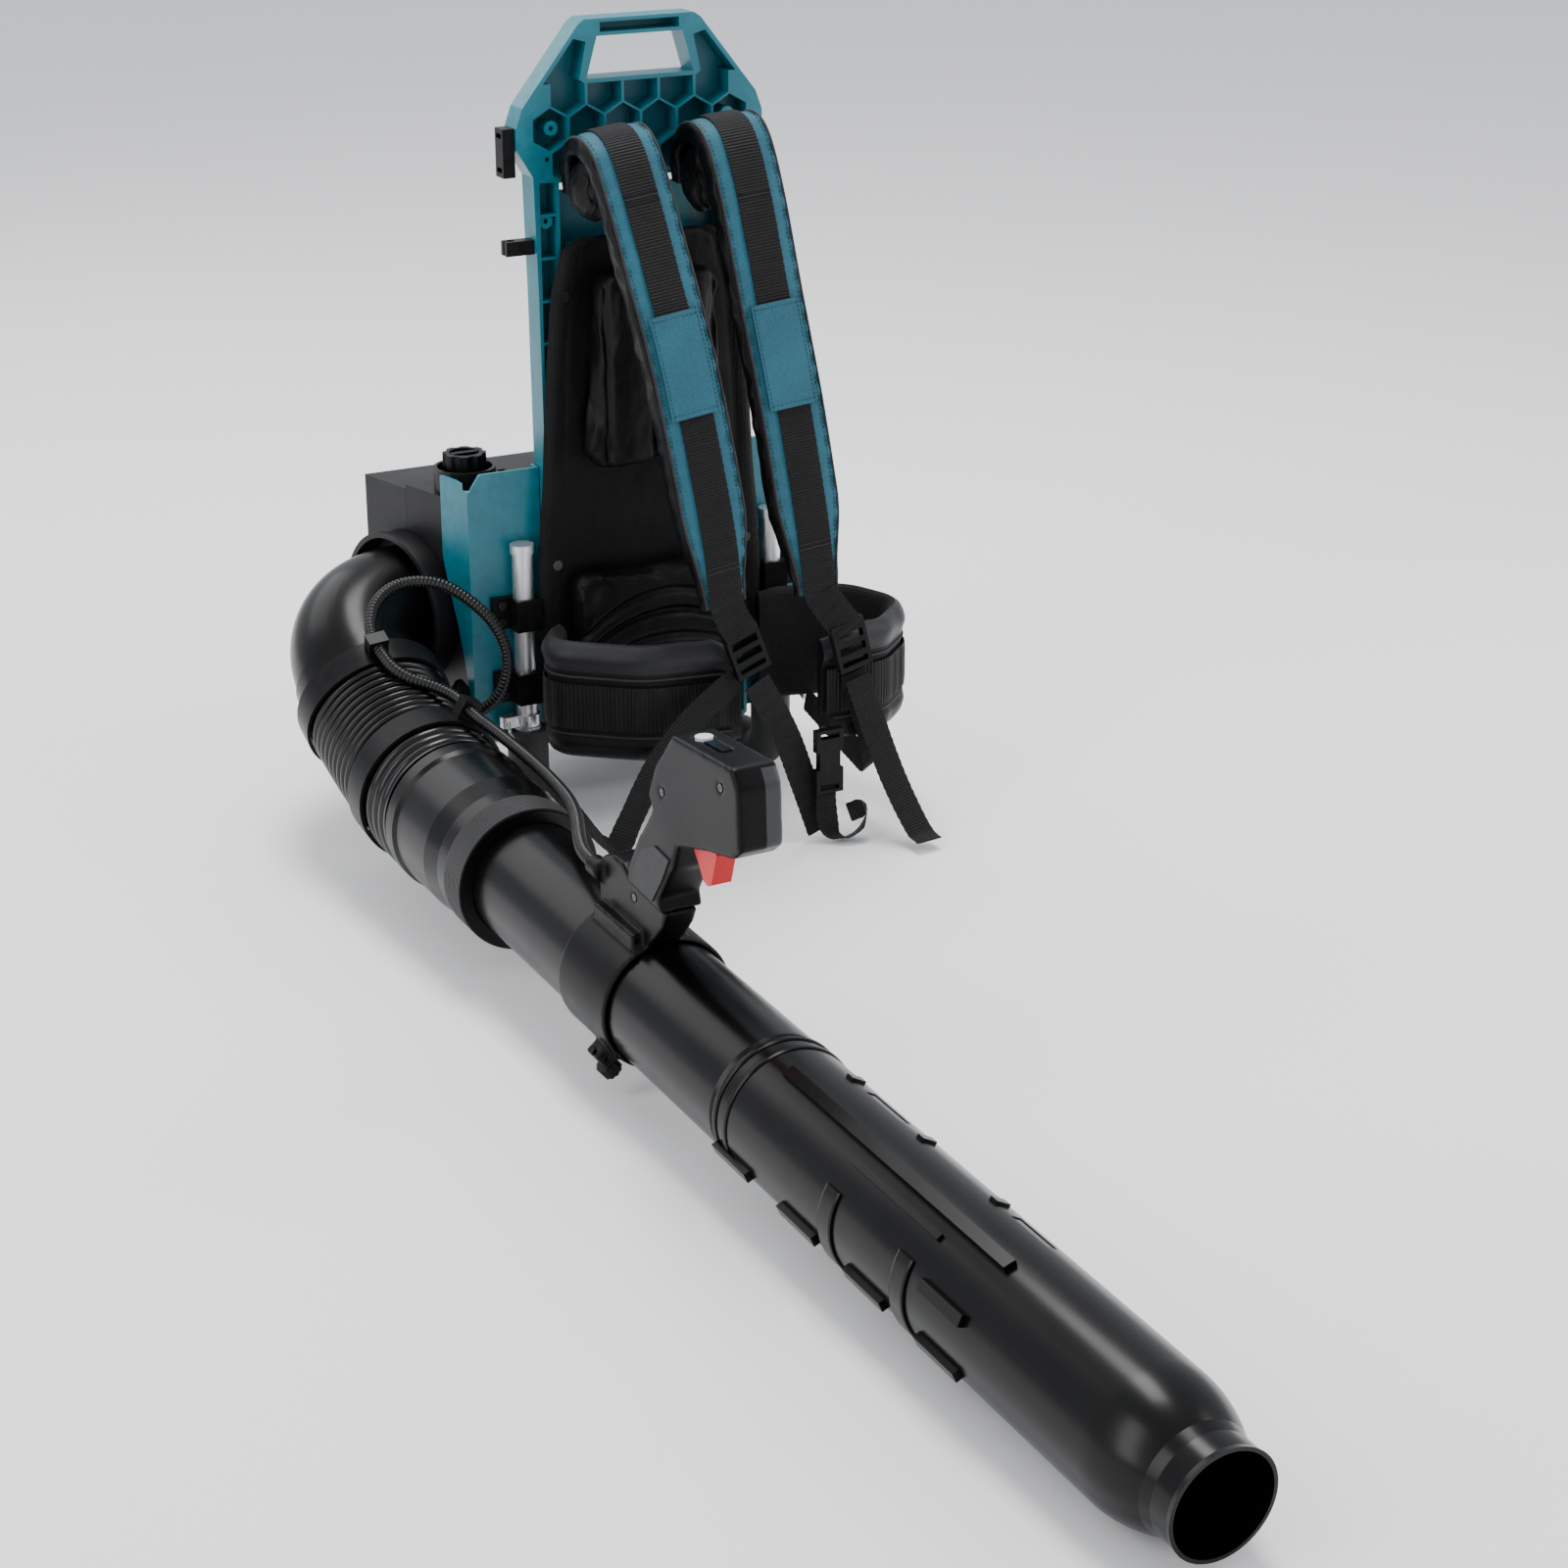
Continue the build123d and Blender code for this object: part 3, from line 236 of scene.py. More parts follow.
M["copper"] = metal("motor_metal", (0.5, 0.5, 0.52), 0.4)
M["board"] = plastic("circuit_board", (0.02, 0.12, 0.04), 0.4)
M["lens"] = plastic("display_lens", (0.006, 0.007, 0.008), 0.12, 900, 0.02, 1.5)
M["label"] = plastic("label_white", (0.72, 0.72, 0.70), 0.45, 900, 0.03, 1.05, 0.03)
M["stripe"] = plastic("grey_stripe", (0.016, 0.016, 0.018), 0.4, 1100, 0.1, 1.5, 0.05)
M["white"] = plastic("mark_white", (0.62, 0.64, 0.65), 0.4, 900, 0.03, 1.05, 0.03)
M["web"] = weave("webbing_black", (0.0036, 0.0036, 0.004), 0.0012, 0.62, 0.6, 0.04, True, ("Y", 0.0026, 1.0), 0.25, 0.1, 0.22)
M["belt_web"] = weave("belt_webbing_ribbed", (0.0036, 0.0036, 0.004), 0.0011, 0.58, 0.5, 0.04, True, ("Y", 0.0036, 1.0), 0.25, 0.1, 0.25)
M["band"] = weave("band_ribbed", (0.009, 0.009, 0.0095), 0.0012, 0.65, 0.4, 0.10, False, ("Y", 0.0024, 0.9), 0.2, 0.1)
M["strap"] = weave("strap_nylon", (0.014, 0.086, 0.124), 0.0009, 0.60, 0.45, 0.08, True, None, 0.16, 0.35, 0.25)
M["mesh"] = weave("spacer_mesh", (0.004, 0.004, 0.0044), 0.0032, 0.8, 1.0, 0.06, True, None, 0.4, 0.3, 0.22)
M["satin"] = weave("satin_black", (0.0022, 0.0022, 0.0025), 0.0009, 0.40, 0.2, 0.0, False, None, 0.3, 0.6, 0.16)
M["pad"] = weave("pad_black", (0.0022, 0.0022, 0.0025), 0.0010, 0.44, 0.35, 0.0, False, None, 0.3, 0.5, 0.15)
M["lip"] = weave("lip_grey", (0.0085, 0.0085, 0.0105), 0.0009, 0.48, 0.25, 0.08, False, None, 0.2, 0.45, 0.3)
M["shell"] = weave("shell_black", (0.003, 0.003, 0.0033), 0.0012, 0.62, 0.4, 0.04, False, None, 0.3, 0.2, 0.22)
M["thread"] = weave("thread_teal", (0.006, 0.035, 0.05), 0.0006, 0.7, 0.3, 0.1, False)
M["bthread"] = weave("thread_black", (0.02, 0.02, 0.022), 0.0006, 0.7, 0.3, 0.1, False)
M["conduit"] = plastic("conduit_plastic", (0.0022, 0.0022, 0.0024), 0.30, 900, 0.03, 3.0, 0.1, 0.3, 0.32)

LOOK = {
 "back_frame": "teal", "side_cover_left": "teal", "side_cover_right": "teal", "fan_housing_front": "dark", "fan_housing_rear": "dark",
 "intake_grille": "dark", "outlet_hood": "dark", "motor": "copper", "motor_controller": "dark", "upright_tube": "tube", "floor_rail": "tube",
 "front_foot": "foot", "rear_foot": "foot", "rail_bracket": "black", "tube_clamp": "black", "clamp_screw": "dsteel", "ring_bracket": "steel",
 "pack_latch": "black", "back_pad": "shell", "pad_rivet": "dsteel", "upper_cushion": "pad", "lumbar_cushion": "pad", "belt_wing_left": "satin",
 "belt_wing_right": "satin", "belt_webbing": "belt_web", "shoulder_strap_left": "strap", "shoulder_strap_right": "strap", "ladder_lock": "black",
 "load_webbing_left": "web", "load_webbing_right": "web", "snap_hook": "steel", "belt_buckle": "black", "top_buckle": "black", "cable_clip": "black",
 "conduit_a": "conduit", "conduit_b": "conduit", "conduit_c": "conduit", "conduit_gland": "black", "fan_impeller": "black", "pack_lock_knob": "black",
 "elbow": "pipe", "bellows_clamp": "black", "bellows_main": "rubber", "mid_clamp": "black", "bellows_short": "rubber", "pipe_cuff": "pipe",
 "cuff_band": "band", "swivel_pipe": "pipe", "handle_sleeve": "black", "handle_shell_left": "black", "handle_shell_right": "black",
 "handle_screw": "dsteel", "trigger_pin": "steel", "grip_pad": "soft", "charge_display": "lens", "handle_electronics": "board",
 "trigger": "red", "power_button": "white", "clamp_knob": "black", "nozzle": "pipe"}
for n, o in NODES.items():
    mat = M[LOOK[n]]
    if not o.material_slots:
        o.data.materials.append(mat)
    for sl in o.material_slots:
        sl.link = "OBJECT"
        sl.material = mat

# ------------------------------------------------------------------ mesh helpers
def make(name, verts, faces, mats, idx=None, uvs=None, smooth=True, sharp=None):
    me = bpy.data.meshes.new(name)
    me.from_pydata([tuple(v) for v in verts], [], faces)
    for m in mats:
        me.materials.append(m)
    if idx:
        me.polygons.foreach_set("material_index", idx)
    if uvs:
        layer = me.uv_layers.new(name="UVMap")
        for loop in me.loops:
            layer.data[loop.index].uv = uvs[loop.vertex_index]
    bm = bmesh.new()
    bm.from_mesh(me)
    bmesh.ops.recalc_face_normals(bm, faces=bm.faces)
    bm.to_mesh(me)
    bm.free()
    for p in me.polygons:
        p.use_smooth = smooth
    if sharp:
        me.set_sharp_from_angle(angle=math.radians(sharp))
    o = bpy.data.objects.new(name, me)
    COLL.objects.link(o)
    return o

def grid(rows, closed=True, cap=True):
    """Faces between rings of points."""
    n = len(rows[0])
    verts = [p for r in rows for p in r]
    faces = []
    last = n if closed else n - 1
    for i in range(len(rows) - 1):
        for j in range(last):
            a, b = i * n + j, i * n + (j + 1) % n
            faces.append((a, b, b + n, a + n))
    if cap and closed:
        faces.append(tuple(range(n))[::-1])
        faces.append(tuple((len(rows) - 1) * n + j for j in range(n)))
    return verts, faces

def catmull(pts, step):
    """A smooth line through the points, spaced evenly."""
    p = [Vector(q) for q in pts]
    p = [p[0] * 2 - p[1]] + p + [p[-1] * 2 - p[-2]]
    out = []
    for i in range(1, len(p) - 2):
        n = max(2, int((p[i + 1] - p[i]).length / (step * 0.5)))
        for k in range(n):
            t = k / n
            a, b, c, d = p[i - 1], p[i], p[i + 1], p[i + 2]
            out.append(0.5 * ((2 * b) + (c - a) * t + (2 * a - 5 * b + 4 * c - d) * t * t + (3 * b - a - 3 * c + d) * t ** 3))
    out.append(p[-2])
    return resample(out, step)

def resample(line, step):
    acc = [0.0]
    for a, b in zip(line, line[1:]):
        acc.append(acc[-1] + (b - a).length)
    n = max(2, round(acc[-1] / step))
    out, j = [], 0
    for k in range(n + 1):
        s = acc[-1] * k / n
        while j < len(acc) - 2 and acc[j + 1] < s:
            j += 1
        t = (s - acc[j]) / max(1e-9, acc[j + 1] - acc[j])
        out.append(line[j].lerp(line[j + 1], min(1, t)))
    return out

def tangents(line):
    n = len(line)
    return [(line[min(i + 1, n - 1)] - line[max(i - 1, 0)]).normalized() for i in range(n)]

def tube(line, radius, seg=14):
    """Rings along a line, carried without twist. radius is a number or a function of length."""
    ts = tangents(line)
    ref = V(0, 0, 1) if abs(ts[0].z) < 0.8 else V(1, 0, 0)
    x = (ref - ts[0] * ref.dot(ts[0])).normalized()
    rows, s = [], 0.0
    for i, (p, t) in enumerate(zip(line, ts)):
        x = (x - t * x.dot(t)).normalized()
        y = t.cross(x)
        if i:
            s += (p - line[i - 1]).length
        r = radius(s) if callable(radius) else radius
        rows.append([p + (x * math.cos(2 * math.pi * k / seg) + y * math.sin(2 * math.pi * k / seg)) * r for k in range(seg)])
    return rows

def join(objs, name):
    bpy.ops.object.select_all(action="DESELECT")
    for o in objs:
        o.select_set(True)
    bpy.context.view_layer.objects.active = objs[0]
    bpy.ops.object.join()
    objs[0].name = name
    return objs[0]

# ------------------------------------------------------------------ the control conduit
def nurbs(pts):
    cu = bpy.data.curves.new("route", "CURVE")
    cu.dimensions = "3D"
    sp = cu.splines.new("NURBS")
    sp.points.add(len(pts) - 1)
    for q, c in zip(sp.points, pts):
        q.co = (*c, 1)
    sp.order_u = 3
    sp.use_endpoint_u = True
    sp.resolution_u = 24
    o = bpy.data.objects.new("route", cu)
    me = bpy.data.meshes.new_from_object(o)
    line = [v.co.copy() for v in me.vertices]
    bpy.data.meshes.remove(me)
    bpy.data.objects.remove(o)
    bpy.data.curves.remove(cu)
    return line

ROUTE_A = [(-0.1720, 0.0240, 0.1200), (-0.1834, 0.0053, 0.1136), (-0.1841, -0.0180, 0.1146), (-0.1738, -0.0375, 0.1239), (-0.1589, -0.0457, 0.1426),
           (-0.1508, -0.0394, 0.1691), (-0.1585, -0.0310, 0.1960), (-0.1750, -0.0210, 0.2160), (-0.1962, -0.0023, 0.2322), (-0.2279, 0.0103, 0.2333),
           (-0.2531, 0.0045, 0.2223), (-0.2650, -0.0115, 0.2081), (-0.2671, -0.0224, 0.2001), (-0.2668, -0.0313, 0.1959)]
ROUTE_B = [(-0.2668, -0.0316, 0.1957), (-0.2662, -0.0510, 0.1864), (-0.2560, -0.0673, 0.1764), (-0.2367, -0.0799, 0.1694), (-0.2274, -0.0918, 0.1655),
           (-0.2226, -0.1046, 0.1623), (-0.2222, -0.1182, 0.1599)]
ROUTE_C = [(-0.2222, -0.1186, 0.1598), (-0.2218, -0.1312, 0.1576), (-0.2142, -0.1557, 0.1517), (-0.2080, -0.1971, 0.1456), (-0.2079, -0.2411, 0.1441),
           (-0.2131, -0.2814, 0.1464), (-0.2205, -0.3219, 0.1498), (-0.2323, -0.3604, 0.1531), (-0.2464, -0.3950, 0.1555), (-0.2577, -0.4245, 0.1575),
           (-0.2630, -0.4478, 0.1583), (-0.2623, -0.4687, 0.1574)]

def conduit(name, route):
    line = resample(nurbs(route), 0.00042)
    rows = tube(line, lambda s: 0.0044 + 0.00085 * abs(math.sin(math.pi * s / 0.0034)) ** 0.6, 14)
    v, f = grid(rows)
    o = make(name, v, f, [M["conduit"]])
    length = sum((b - a).length for a, b in zip(line, line[1:]))
    return o, line, length

ca, la, len_a = conduit("conduit_loop", ROUTE_A)
cb, lb, len_b = conduit("conduit_over_bellows", ROUTE_B)
cc, lc, len_c = conduit("conduit_to_handle", ROUTE_C)
for o, n in ((ca, "conduit_a"), (cb, "conduit_b"), (cc, "conduit_c")):
    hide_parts(n)
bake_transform(ca)
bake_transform(cb)
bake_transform(cc)

# ------------------------------------------------------------------ bellows
def bellows(name, s0, s1, ribs, mat, seg=96):
    """ribs = (start, end, count): rounded ribs with narrow valleys between plain end cuffs."""
    a, b, n = ribs
    pitch = (b - a) / n
    outer = []
    k = int((s1 - s0) / 0.0007)
    for i in range(k + 1):
        s = s0 + (s1 - s0) * i / k
        r = 0.0606
        if a <= s <= b:
            r = 0.0562 + 0.0058 * abs(math.sin(math.pi * (s - a) / pitch)) ** 0.55
        outer.append((s, r))
    prof = outer + [(s1, 0.0540), (s0, 0.0540)]
    rows = []
    for j in range(seg):
        th = 2 * math.pi * j / seg
        rows.append([bP(s) + (UX * math.cos(th) + bV(s) * math.sin(th)) * r for s, r in prof])
    m = len(prof)
    verts = [p for r in rows for p in r]
    faces = []
    for j in range(seg):
        j2 = (j + 1) % seg
        for i in range(m):
            i2 = (i + 1) % m
            faces.append((j * m + i, j * m + i2, j2 * m + i2, j2 * m + i))
    return make(name, verts, faces, [mat], sharp=50)

bm_ = bellows("ribbed_bellows", 0.022, 0.1505, (0.0500, 0.1375, 10), M["rubber"])
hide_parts("bellows_main")
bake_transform(bm_)
bs_ = bellows("ribbed_bellows_short", 0.1515, 0.2055, (0.1660, 0.2020, 3), M["rubber"])
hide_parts("bellows_short"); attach(bs_, "cuff")

# ------------------------------------------------------------------ ribbons: webbing and straps
def ribbon_rows(line, normals, widths, t, across=7, crown=0.0):
    rows, uv, s = [], [], 0.0
    ts = tangents(line)
    for i, (p, tg, nn) in enumerate(zip(line, ts, normals)):
        if i:
            s += (p - line[i - 1]).length
        n = (nn - tg * nn.dot(tg)).normalized()
        w = tg.cross(n).normalized()
        hw = (widths(s) if callable(widths) else widths) / 2
        ring, ruv = [], []
        for k in range(across):
            u = -hw + 2 * hw * k / (across - 1)
            c = crown * (1 - (u / hw) ** 2)
            ring.append(p + w * u + n * (t / 2 + c)); ruv.append((u, s))
        for k in range(across - 1, -1, -1):
            u = -hw + 2 * hw * k / (across - 1)
            c = crown * (1 - (u / hw) ** 2)
            ring.append(p + w * u - n * (t / 2 - c)); ruv.append((u, s))
        rows.append(ring); uv += ruv
    return rows, uv

def ribbon(name, ctrl, width, t, mat, body="carrier", step=0.003, slot="webbing", crown=0.0):
    """ctrl: list of (point, normal) in millimetres."""
    pts = [Vector(p) / 1000 for p, _ in ctrl]
    line = catmull(pts, step)
    acc = [0.0]
    for a, b in zip(pts, pts[1:]):
        acc.append(acc[-1] + (b - a).length)
    normals, tot = [], sum((b - a).length for a, b in zip(line, line[1:]))
    s = 0.0
    for i, p in enumerate(line):
        if i:
            s += (p - line[i - 1]).length
        q = s / tot * acc[-1]
        j = 0
        while j < len(acc) - 2 and acc[j + 1] < q:
            j += 1
        f = (q - acc[j]) / max(1e-9, acc[j + 1] - acc[j])
        f = f * f * (3 - 2 * f)
        normals.append(Vector(ctrl[j][1]).normalized().lerp(Vector(ctrl[j + 1][1]).normalized(), f).normalized())
    rows, uv = ribbon_rows(line, normals, (lambda s_: width(s_ / tot)) if callable(width) else width, t, crown=crown)
    v, f = grid(rows)
    o = make(name, v, f, [mat], uvs=uv, sharp=40)
    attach(o, body)
    return o

# shoulder straps follow the same side line as their solids
SIDE_L = [(-8.6, 556), (-16, 586), (-40, 600), (-66, 592), (-85, 551), (-104, 494), (-125, 429), (-140, 344), (-148, 273), (-149, 222)]
SIDE_R = [(-8.6, 556), (-16, 588), (-40, 603), (-66, 595), (-85, 550), (-104, 467), (-125, 380), (-140, 293), (-148, 236), (-149, 222)]

def stitches(name, pairs, mat, body="carrier", size=0.0022, r=0.00028):
    verts, faces = [], []
    for p, d, n in pairs:
        w = d.cross(n).normalized() * r
        a, b, h = d * (size / 2), n * r, len(verts)
        for sa in (-1, 1):
            for sw, sb in ((-1, -1), (1, -1), (1, 1), (-1, 1)):
                verts.append(p + a * sa + w * sw + b * sb)
        for q in ((0, 1, 2, 3), (7, 6, 5, 4), (0, 4, 5, 1), (1, 5, 6, 2), (2, 6, 7, 3), (3, 7, 4, 0)):
            faces.append(tuple(h + k for k in q))
    o = make(name, verts, faces, [mat], smooth=False)
    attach(o, body)
    return o

def smooth01(a, b, x):
    t = max(0.0, min(1.0, (x - a) / (b - a)))
    return t * t * (3 - 2 * t)

web_later = []
def shoulder(tag, side, x0, lean, patch_z, seed, cad, web_end):
    L = math.radians(lean)
    wd = V(math.cos(L), 0, -math.sin(L))
    def place(y, z):
        dz = z - 597
        return V(x0 + math.sin(L) * dz, y, 597 + math.cos(L) * dz) / 1000
    line = catmull([place(y, z) for y, z in side], 0.004)
    ts = tangents(line)
    acc, rows, uv, front = 0.0, [], [], []
    tot = sum((b - a).length for a, b in zip(line, line[1:]))
    info = []
    for i, (p, t) in enumerate(zip(line, ts)):
        if i:
            acc += (p - line[i - 1]).length
        w = (wd - t * wd.dot(t)).normalized()
        n = t.cross(w).normalized()
        left = tot - acc
        k = 0.62 + 0.38 * smooth01(0.0, 0.085, left)
        th = 0.0066 * (0.45 + 0.55 * smooth01(0.0, 0.07, left))
        hw = 0.0280 * k
        tb = 0.0128 * (0.42 + 0.58 * smooth01(0.0, 0.07, left)) * (0.55 + 0.45 * smooth01(0.045, 0.085, acc))
        ring, ruv = [], []
        N = 14
        for j in range(N + 1):
            u = -hw + 2 * hw * j / N
            e = abs(u) / hw
            puck = 0.0008 * noise.noise(V(u * 60 + seed, acc * 42, 0.3)) + 0.0007 * e ** 3 * math.sin(acc * 360 + seed + 3 * (u > 0))
            v = th + 0.0016 * (1 - e ** 4) - 0.0011 * math.exp(-((e - 0.90) / 0.05) ** 2) + puck
            ring.append(p + w * u + n * v); ruv.append((u, acc))
        for j in range(1, 7):
            a = math.pi / 2 - math.pi * j / 7
            bul = 1 + 0.5 * noise.noise(V(5 + seed, acc * 55, j * 0.5))
            dn = th * math.sin(a) if a > 0 else tb * math.sin(a)
            ring.append(p + w * (hw + 0.0024 * math.cos(a) * bul + 0.0006) + n * dn); ruv.append((hw + 0.002 * j, acc))
        for j in range(N + 1):
            u = hw - 2 * hw * j / N
            e = abs(u) / hw
            v = -tb - 0.0010 * (1 - e ** 4) + 0.0014 * noise.noise(V(u * 50, acc * 40, seed + 4))
            ring.append(p + w * u + n * v); ruv.append((0.05 + u, acc))
        for j in range(1, 7):
            a = -math.pi / 2 - math.pi * j / 7
            bul = 1 + 0.8 * noise.noise(V(9 + seed, acc * 55, j * 0.5))
            dn = tb * math.sin(a) if math.sin(a) < 0 else th * math.sin(a)
            fold = (0.0011 * noise.noise(V(acc * 95, 0.7 * j, seed)) + 0.0005 * math.sin(acc * 310 + 5 * noise.noise(V(acc * 30, 0, seed)))) * abs(math.cos(a))
            ring.append(p + w * (-hw + (0.0036 * bul + fold) * math.cos(a) - 0.0006) + n * dn); ruv.append((-hw - 0.002 * j, acc))
        rows.append(ring); uv += ruv
        info.append((p, t, w, n, th, hw, acc))
    verts, faces = grid(rows)
    per = len(rows[0])
    idx = []
    for r in range(len(rows) - 1):
        for j in range(per):
            idx.append(0 if j < 14 else 1 if j < 21 else 2)
    idx += [1, 1]
    body = make("strap_pad_" + tag, verts, faces, [M["strap"], M["satin"], M["satin"]], idx, uv, sharp=70)
    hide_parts(cad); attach(body, "carrier")
    # piping where the face meets the side
    for sgn, nm in ((-1, "left"), (1, "right")):
        ln = [p + w * (sgn * (hw + 0.0003)) + n * (th + 0.0002) for p, t, w, n, th, hw, a in info]
        v, f = grid(tube(ln, 0.0011, 8))
        pp = make(f"strap_piping_{tag}_{nm}", v, f, [M["bthread"]])
        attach(pp, "carrier")
    # webbing along the middle, down to the ladder lock
    wl = [p + n * (th + 0.0028) for p, t, w, n, th, hw, a in info if a > 0.004]
    nn = [n for p, t, w, n, th, hw, a in info if a > 0.004]
    ext = [Vector(q) / 1000 for q in web_end]
    tail = catmull([wl[-1]] + ext, 0.004)[1:]
    wl2, nn2 = wl + tail, nn + [nn[-1]] * len(tail)
    fine_line = resample(wl2, 0.0007)
    fine_n = [nn2[min(len(nn2) - 1, round(k * (len(nn2) - 1) / (len(fine_line) - 1)))] for k in range(len(fine_line))]
    web_later.append(("strap_webbing_" + tag, fine_line, fine_n))
    # blank patch sewn over the webbing
    pl = [(p, t, w, n, th) for p, t, w, n, th, hw, a in info if patch_z[0] <= p.z * 1000 <= patch_z[1] and n.y < 0]
    r3, uv3 = ribbon_rows([p + n * (th + 0.0041) for p, t, w, n, th in pl], [n for p, t, w, n, th in pl], 0.0440, 0.0012, across=11, crown=0.0006)
    v, f = grid(r3)
    pa = make("strap_patch_" + tag, v, f, [M["strap"]], uvs=uv3, sharp=40)
    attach(pa, "carrier")
    st = []
    fine = resample([q[0] for q in pl], 0.0036)
    for q in fine:
        near = min(pl, key=lambda z: (z[0] - q).length)
        for u in (-0.0200, 0.0200):
            st.append((q + near[2] * u + near[3] * (near[4] + 0.0049), near[1], near[3]))
    for end in (pl[1], pl[-2]):
        for k in range(-5, 6):
            st.append((end[0] + end[2] * (k * 0.0037) + end[3] * (end[4] + 0.0051), end[2], end[3]))
    side_line = resample([q[0] for q in info], 0.0038)
    for q in side_line:
        near = min(info, key=lambda z: (z[0] - q).length)
        for sgn in (-1, 1):
            st.append((q + near[2] * (sgn * near[5] * 0.90) + near[3] * (near[4] + 0.0006), near[1], near[3]))
    stitches("strap_stitch_" + tag, st, M["thread"])
    # box stitch bars across the webbing
    bars = []
    for z in ((560, 556, 552, 262, 258) if tag == "left" else (556, 551, 268, 264)):
        near = min((q for q in info if q[3].y < 0), key=lambda q: abs(q[0].z * 1000 - z))
        for k in range(-6, 7):
            bars.append((near[0] + near[2] * (k * 0.0023) + near[3] * (near[4] + 0.0037), near[2], near[3]))
    stitches("strap_bar_" + tag, bars, M["bthread"])
    return info

info_l = shoulder("left", SIDE_L, -49, -7.4, (385, 470), 1.3, "shoulder_strap_left", [(4, -156.5, 212), (12, -159.6, 198)])
info_r = shoulder("right", SIDE_R, 53, -5.3, (380, 468), 7.7, "shoulder_strap_right", [(98, -161, 206), (107, -169.6, 192)])

# bunched fabric where each strap folds over at the top
def bunch(name, centre, size, seed, mat):
    """Gathered lining: long soft folds that run down and round the roll."""
    bm = bmesh.new()
    bmesh.ops.create_icosphere(bm, subdivisions=6, radius=1.0)
    for v in bm.verts:
        c = v.co.copy()
        ang = math.atan2(c.x, -c.y) * 3.0 + c.z * 2.4 + seed
        wob = noise.noise(c * 1.4 + V(seed, 0, 0))
        fold = abs(math.sin(ang + 2.6 * wob)) ** 0.7
        f = 0.90 + 0.12 * wob + 0.13 * fold + 0.035 * noise.noise(V(c.x * 5, c.y * 5, c.z * 2.0 + seed))
        z = c.z * size[2] * (0.94 + 0.10 * wob)
        v.co = V(centre[0] + c.x * size[0] * f, centre[1] + c.y * size[1] * f, centre[2] + z) / 1000
    me = bpy.data.meshes.new(name)
    bm.to_mesh(me); bm.free()
    me.materials.append(mat)
    for p in me.polygons:
        p.use_smooth = True
    o = bpy.data.objects.new(name, me)
    COLL.objects.link(o)
    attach(o, "carrier")
    return o
bunch("fold_left", (-66, -40, 560), (15, 25, 28), 2.0, M["satin"])
bunch("fold_right", (36, -40, 560), (15, 25, 30), 6.0, M["satin"])

# ------------------------------------------------------------------ hip belt
def rounded(pts, radii, n=14):
    """A plan line with its corners rounded, in millimetres."""
    out = [Vector((*pts[0], 0))]
    for i in range(1, len(pts) - 1):
        a, b, c = (Vector((*q, 0)) for q in pts[i - 1:i + 2])
        u, w = (a - b).normalized(), (c - b).normalized()
        half = math.acos(max(-1, min(1, u.dot(w)))) / 2
        r = radii[i - 1]
        t = min(r / math.tan(half), (a - b).length * 0.49, (c - b).length * 0.49)
        p, q = b + u * t, b + w * t
        for k in range(n + 1):
            f = k / n
            out.append(p * (1 - f) ** 2 + b * (2 * f * (1 - f)) + q * f * f)
    out.append(Vector((*pts[-1], 0)))
    return out

def belt_line(pts, radii, step):
    return resample([p / 1000 for p in rounded(pts, radii)], step)

def outward(p, t):
    n = V(t.y, -t.x, 0).normalized()
    return n if n.dot(V(p.x, p.y + 0.045, 0)) > 0 else -n

LEFT = ([(-96, -22), (-126, -64), (-62, -118), (22, -134)], [30, 60])
RIGHT = ([(96, -22), (172, -42), (196, -104), (150, -146), (92, -146)], [45, 35, 30])

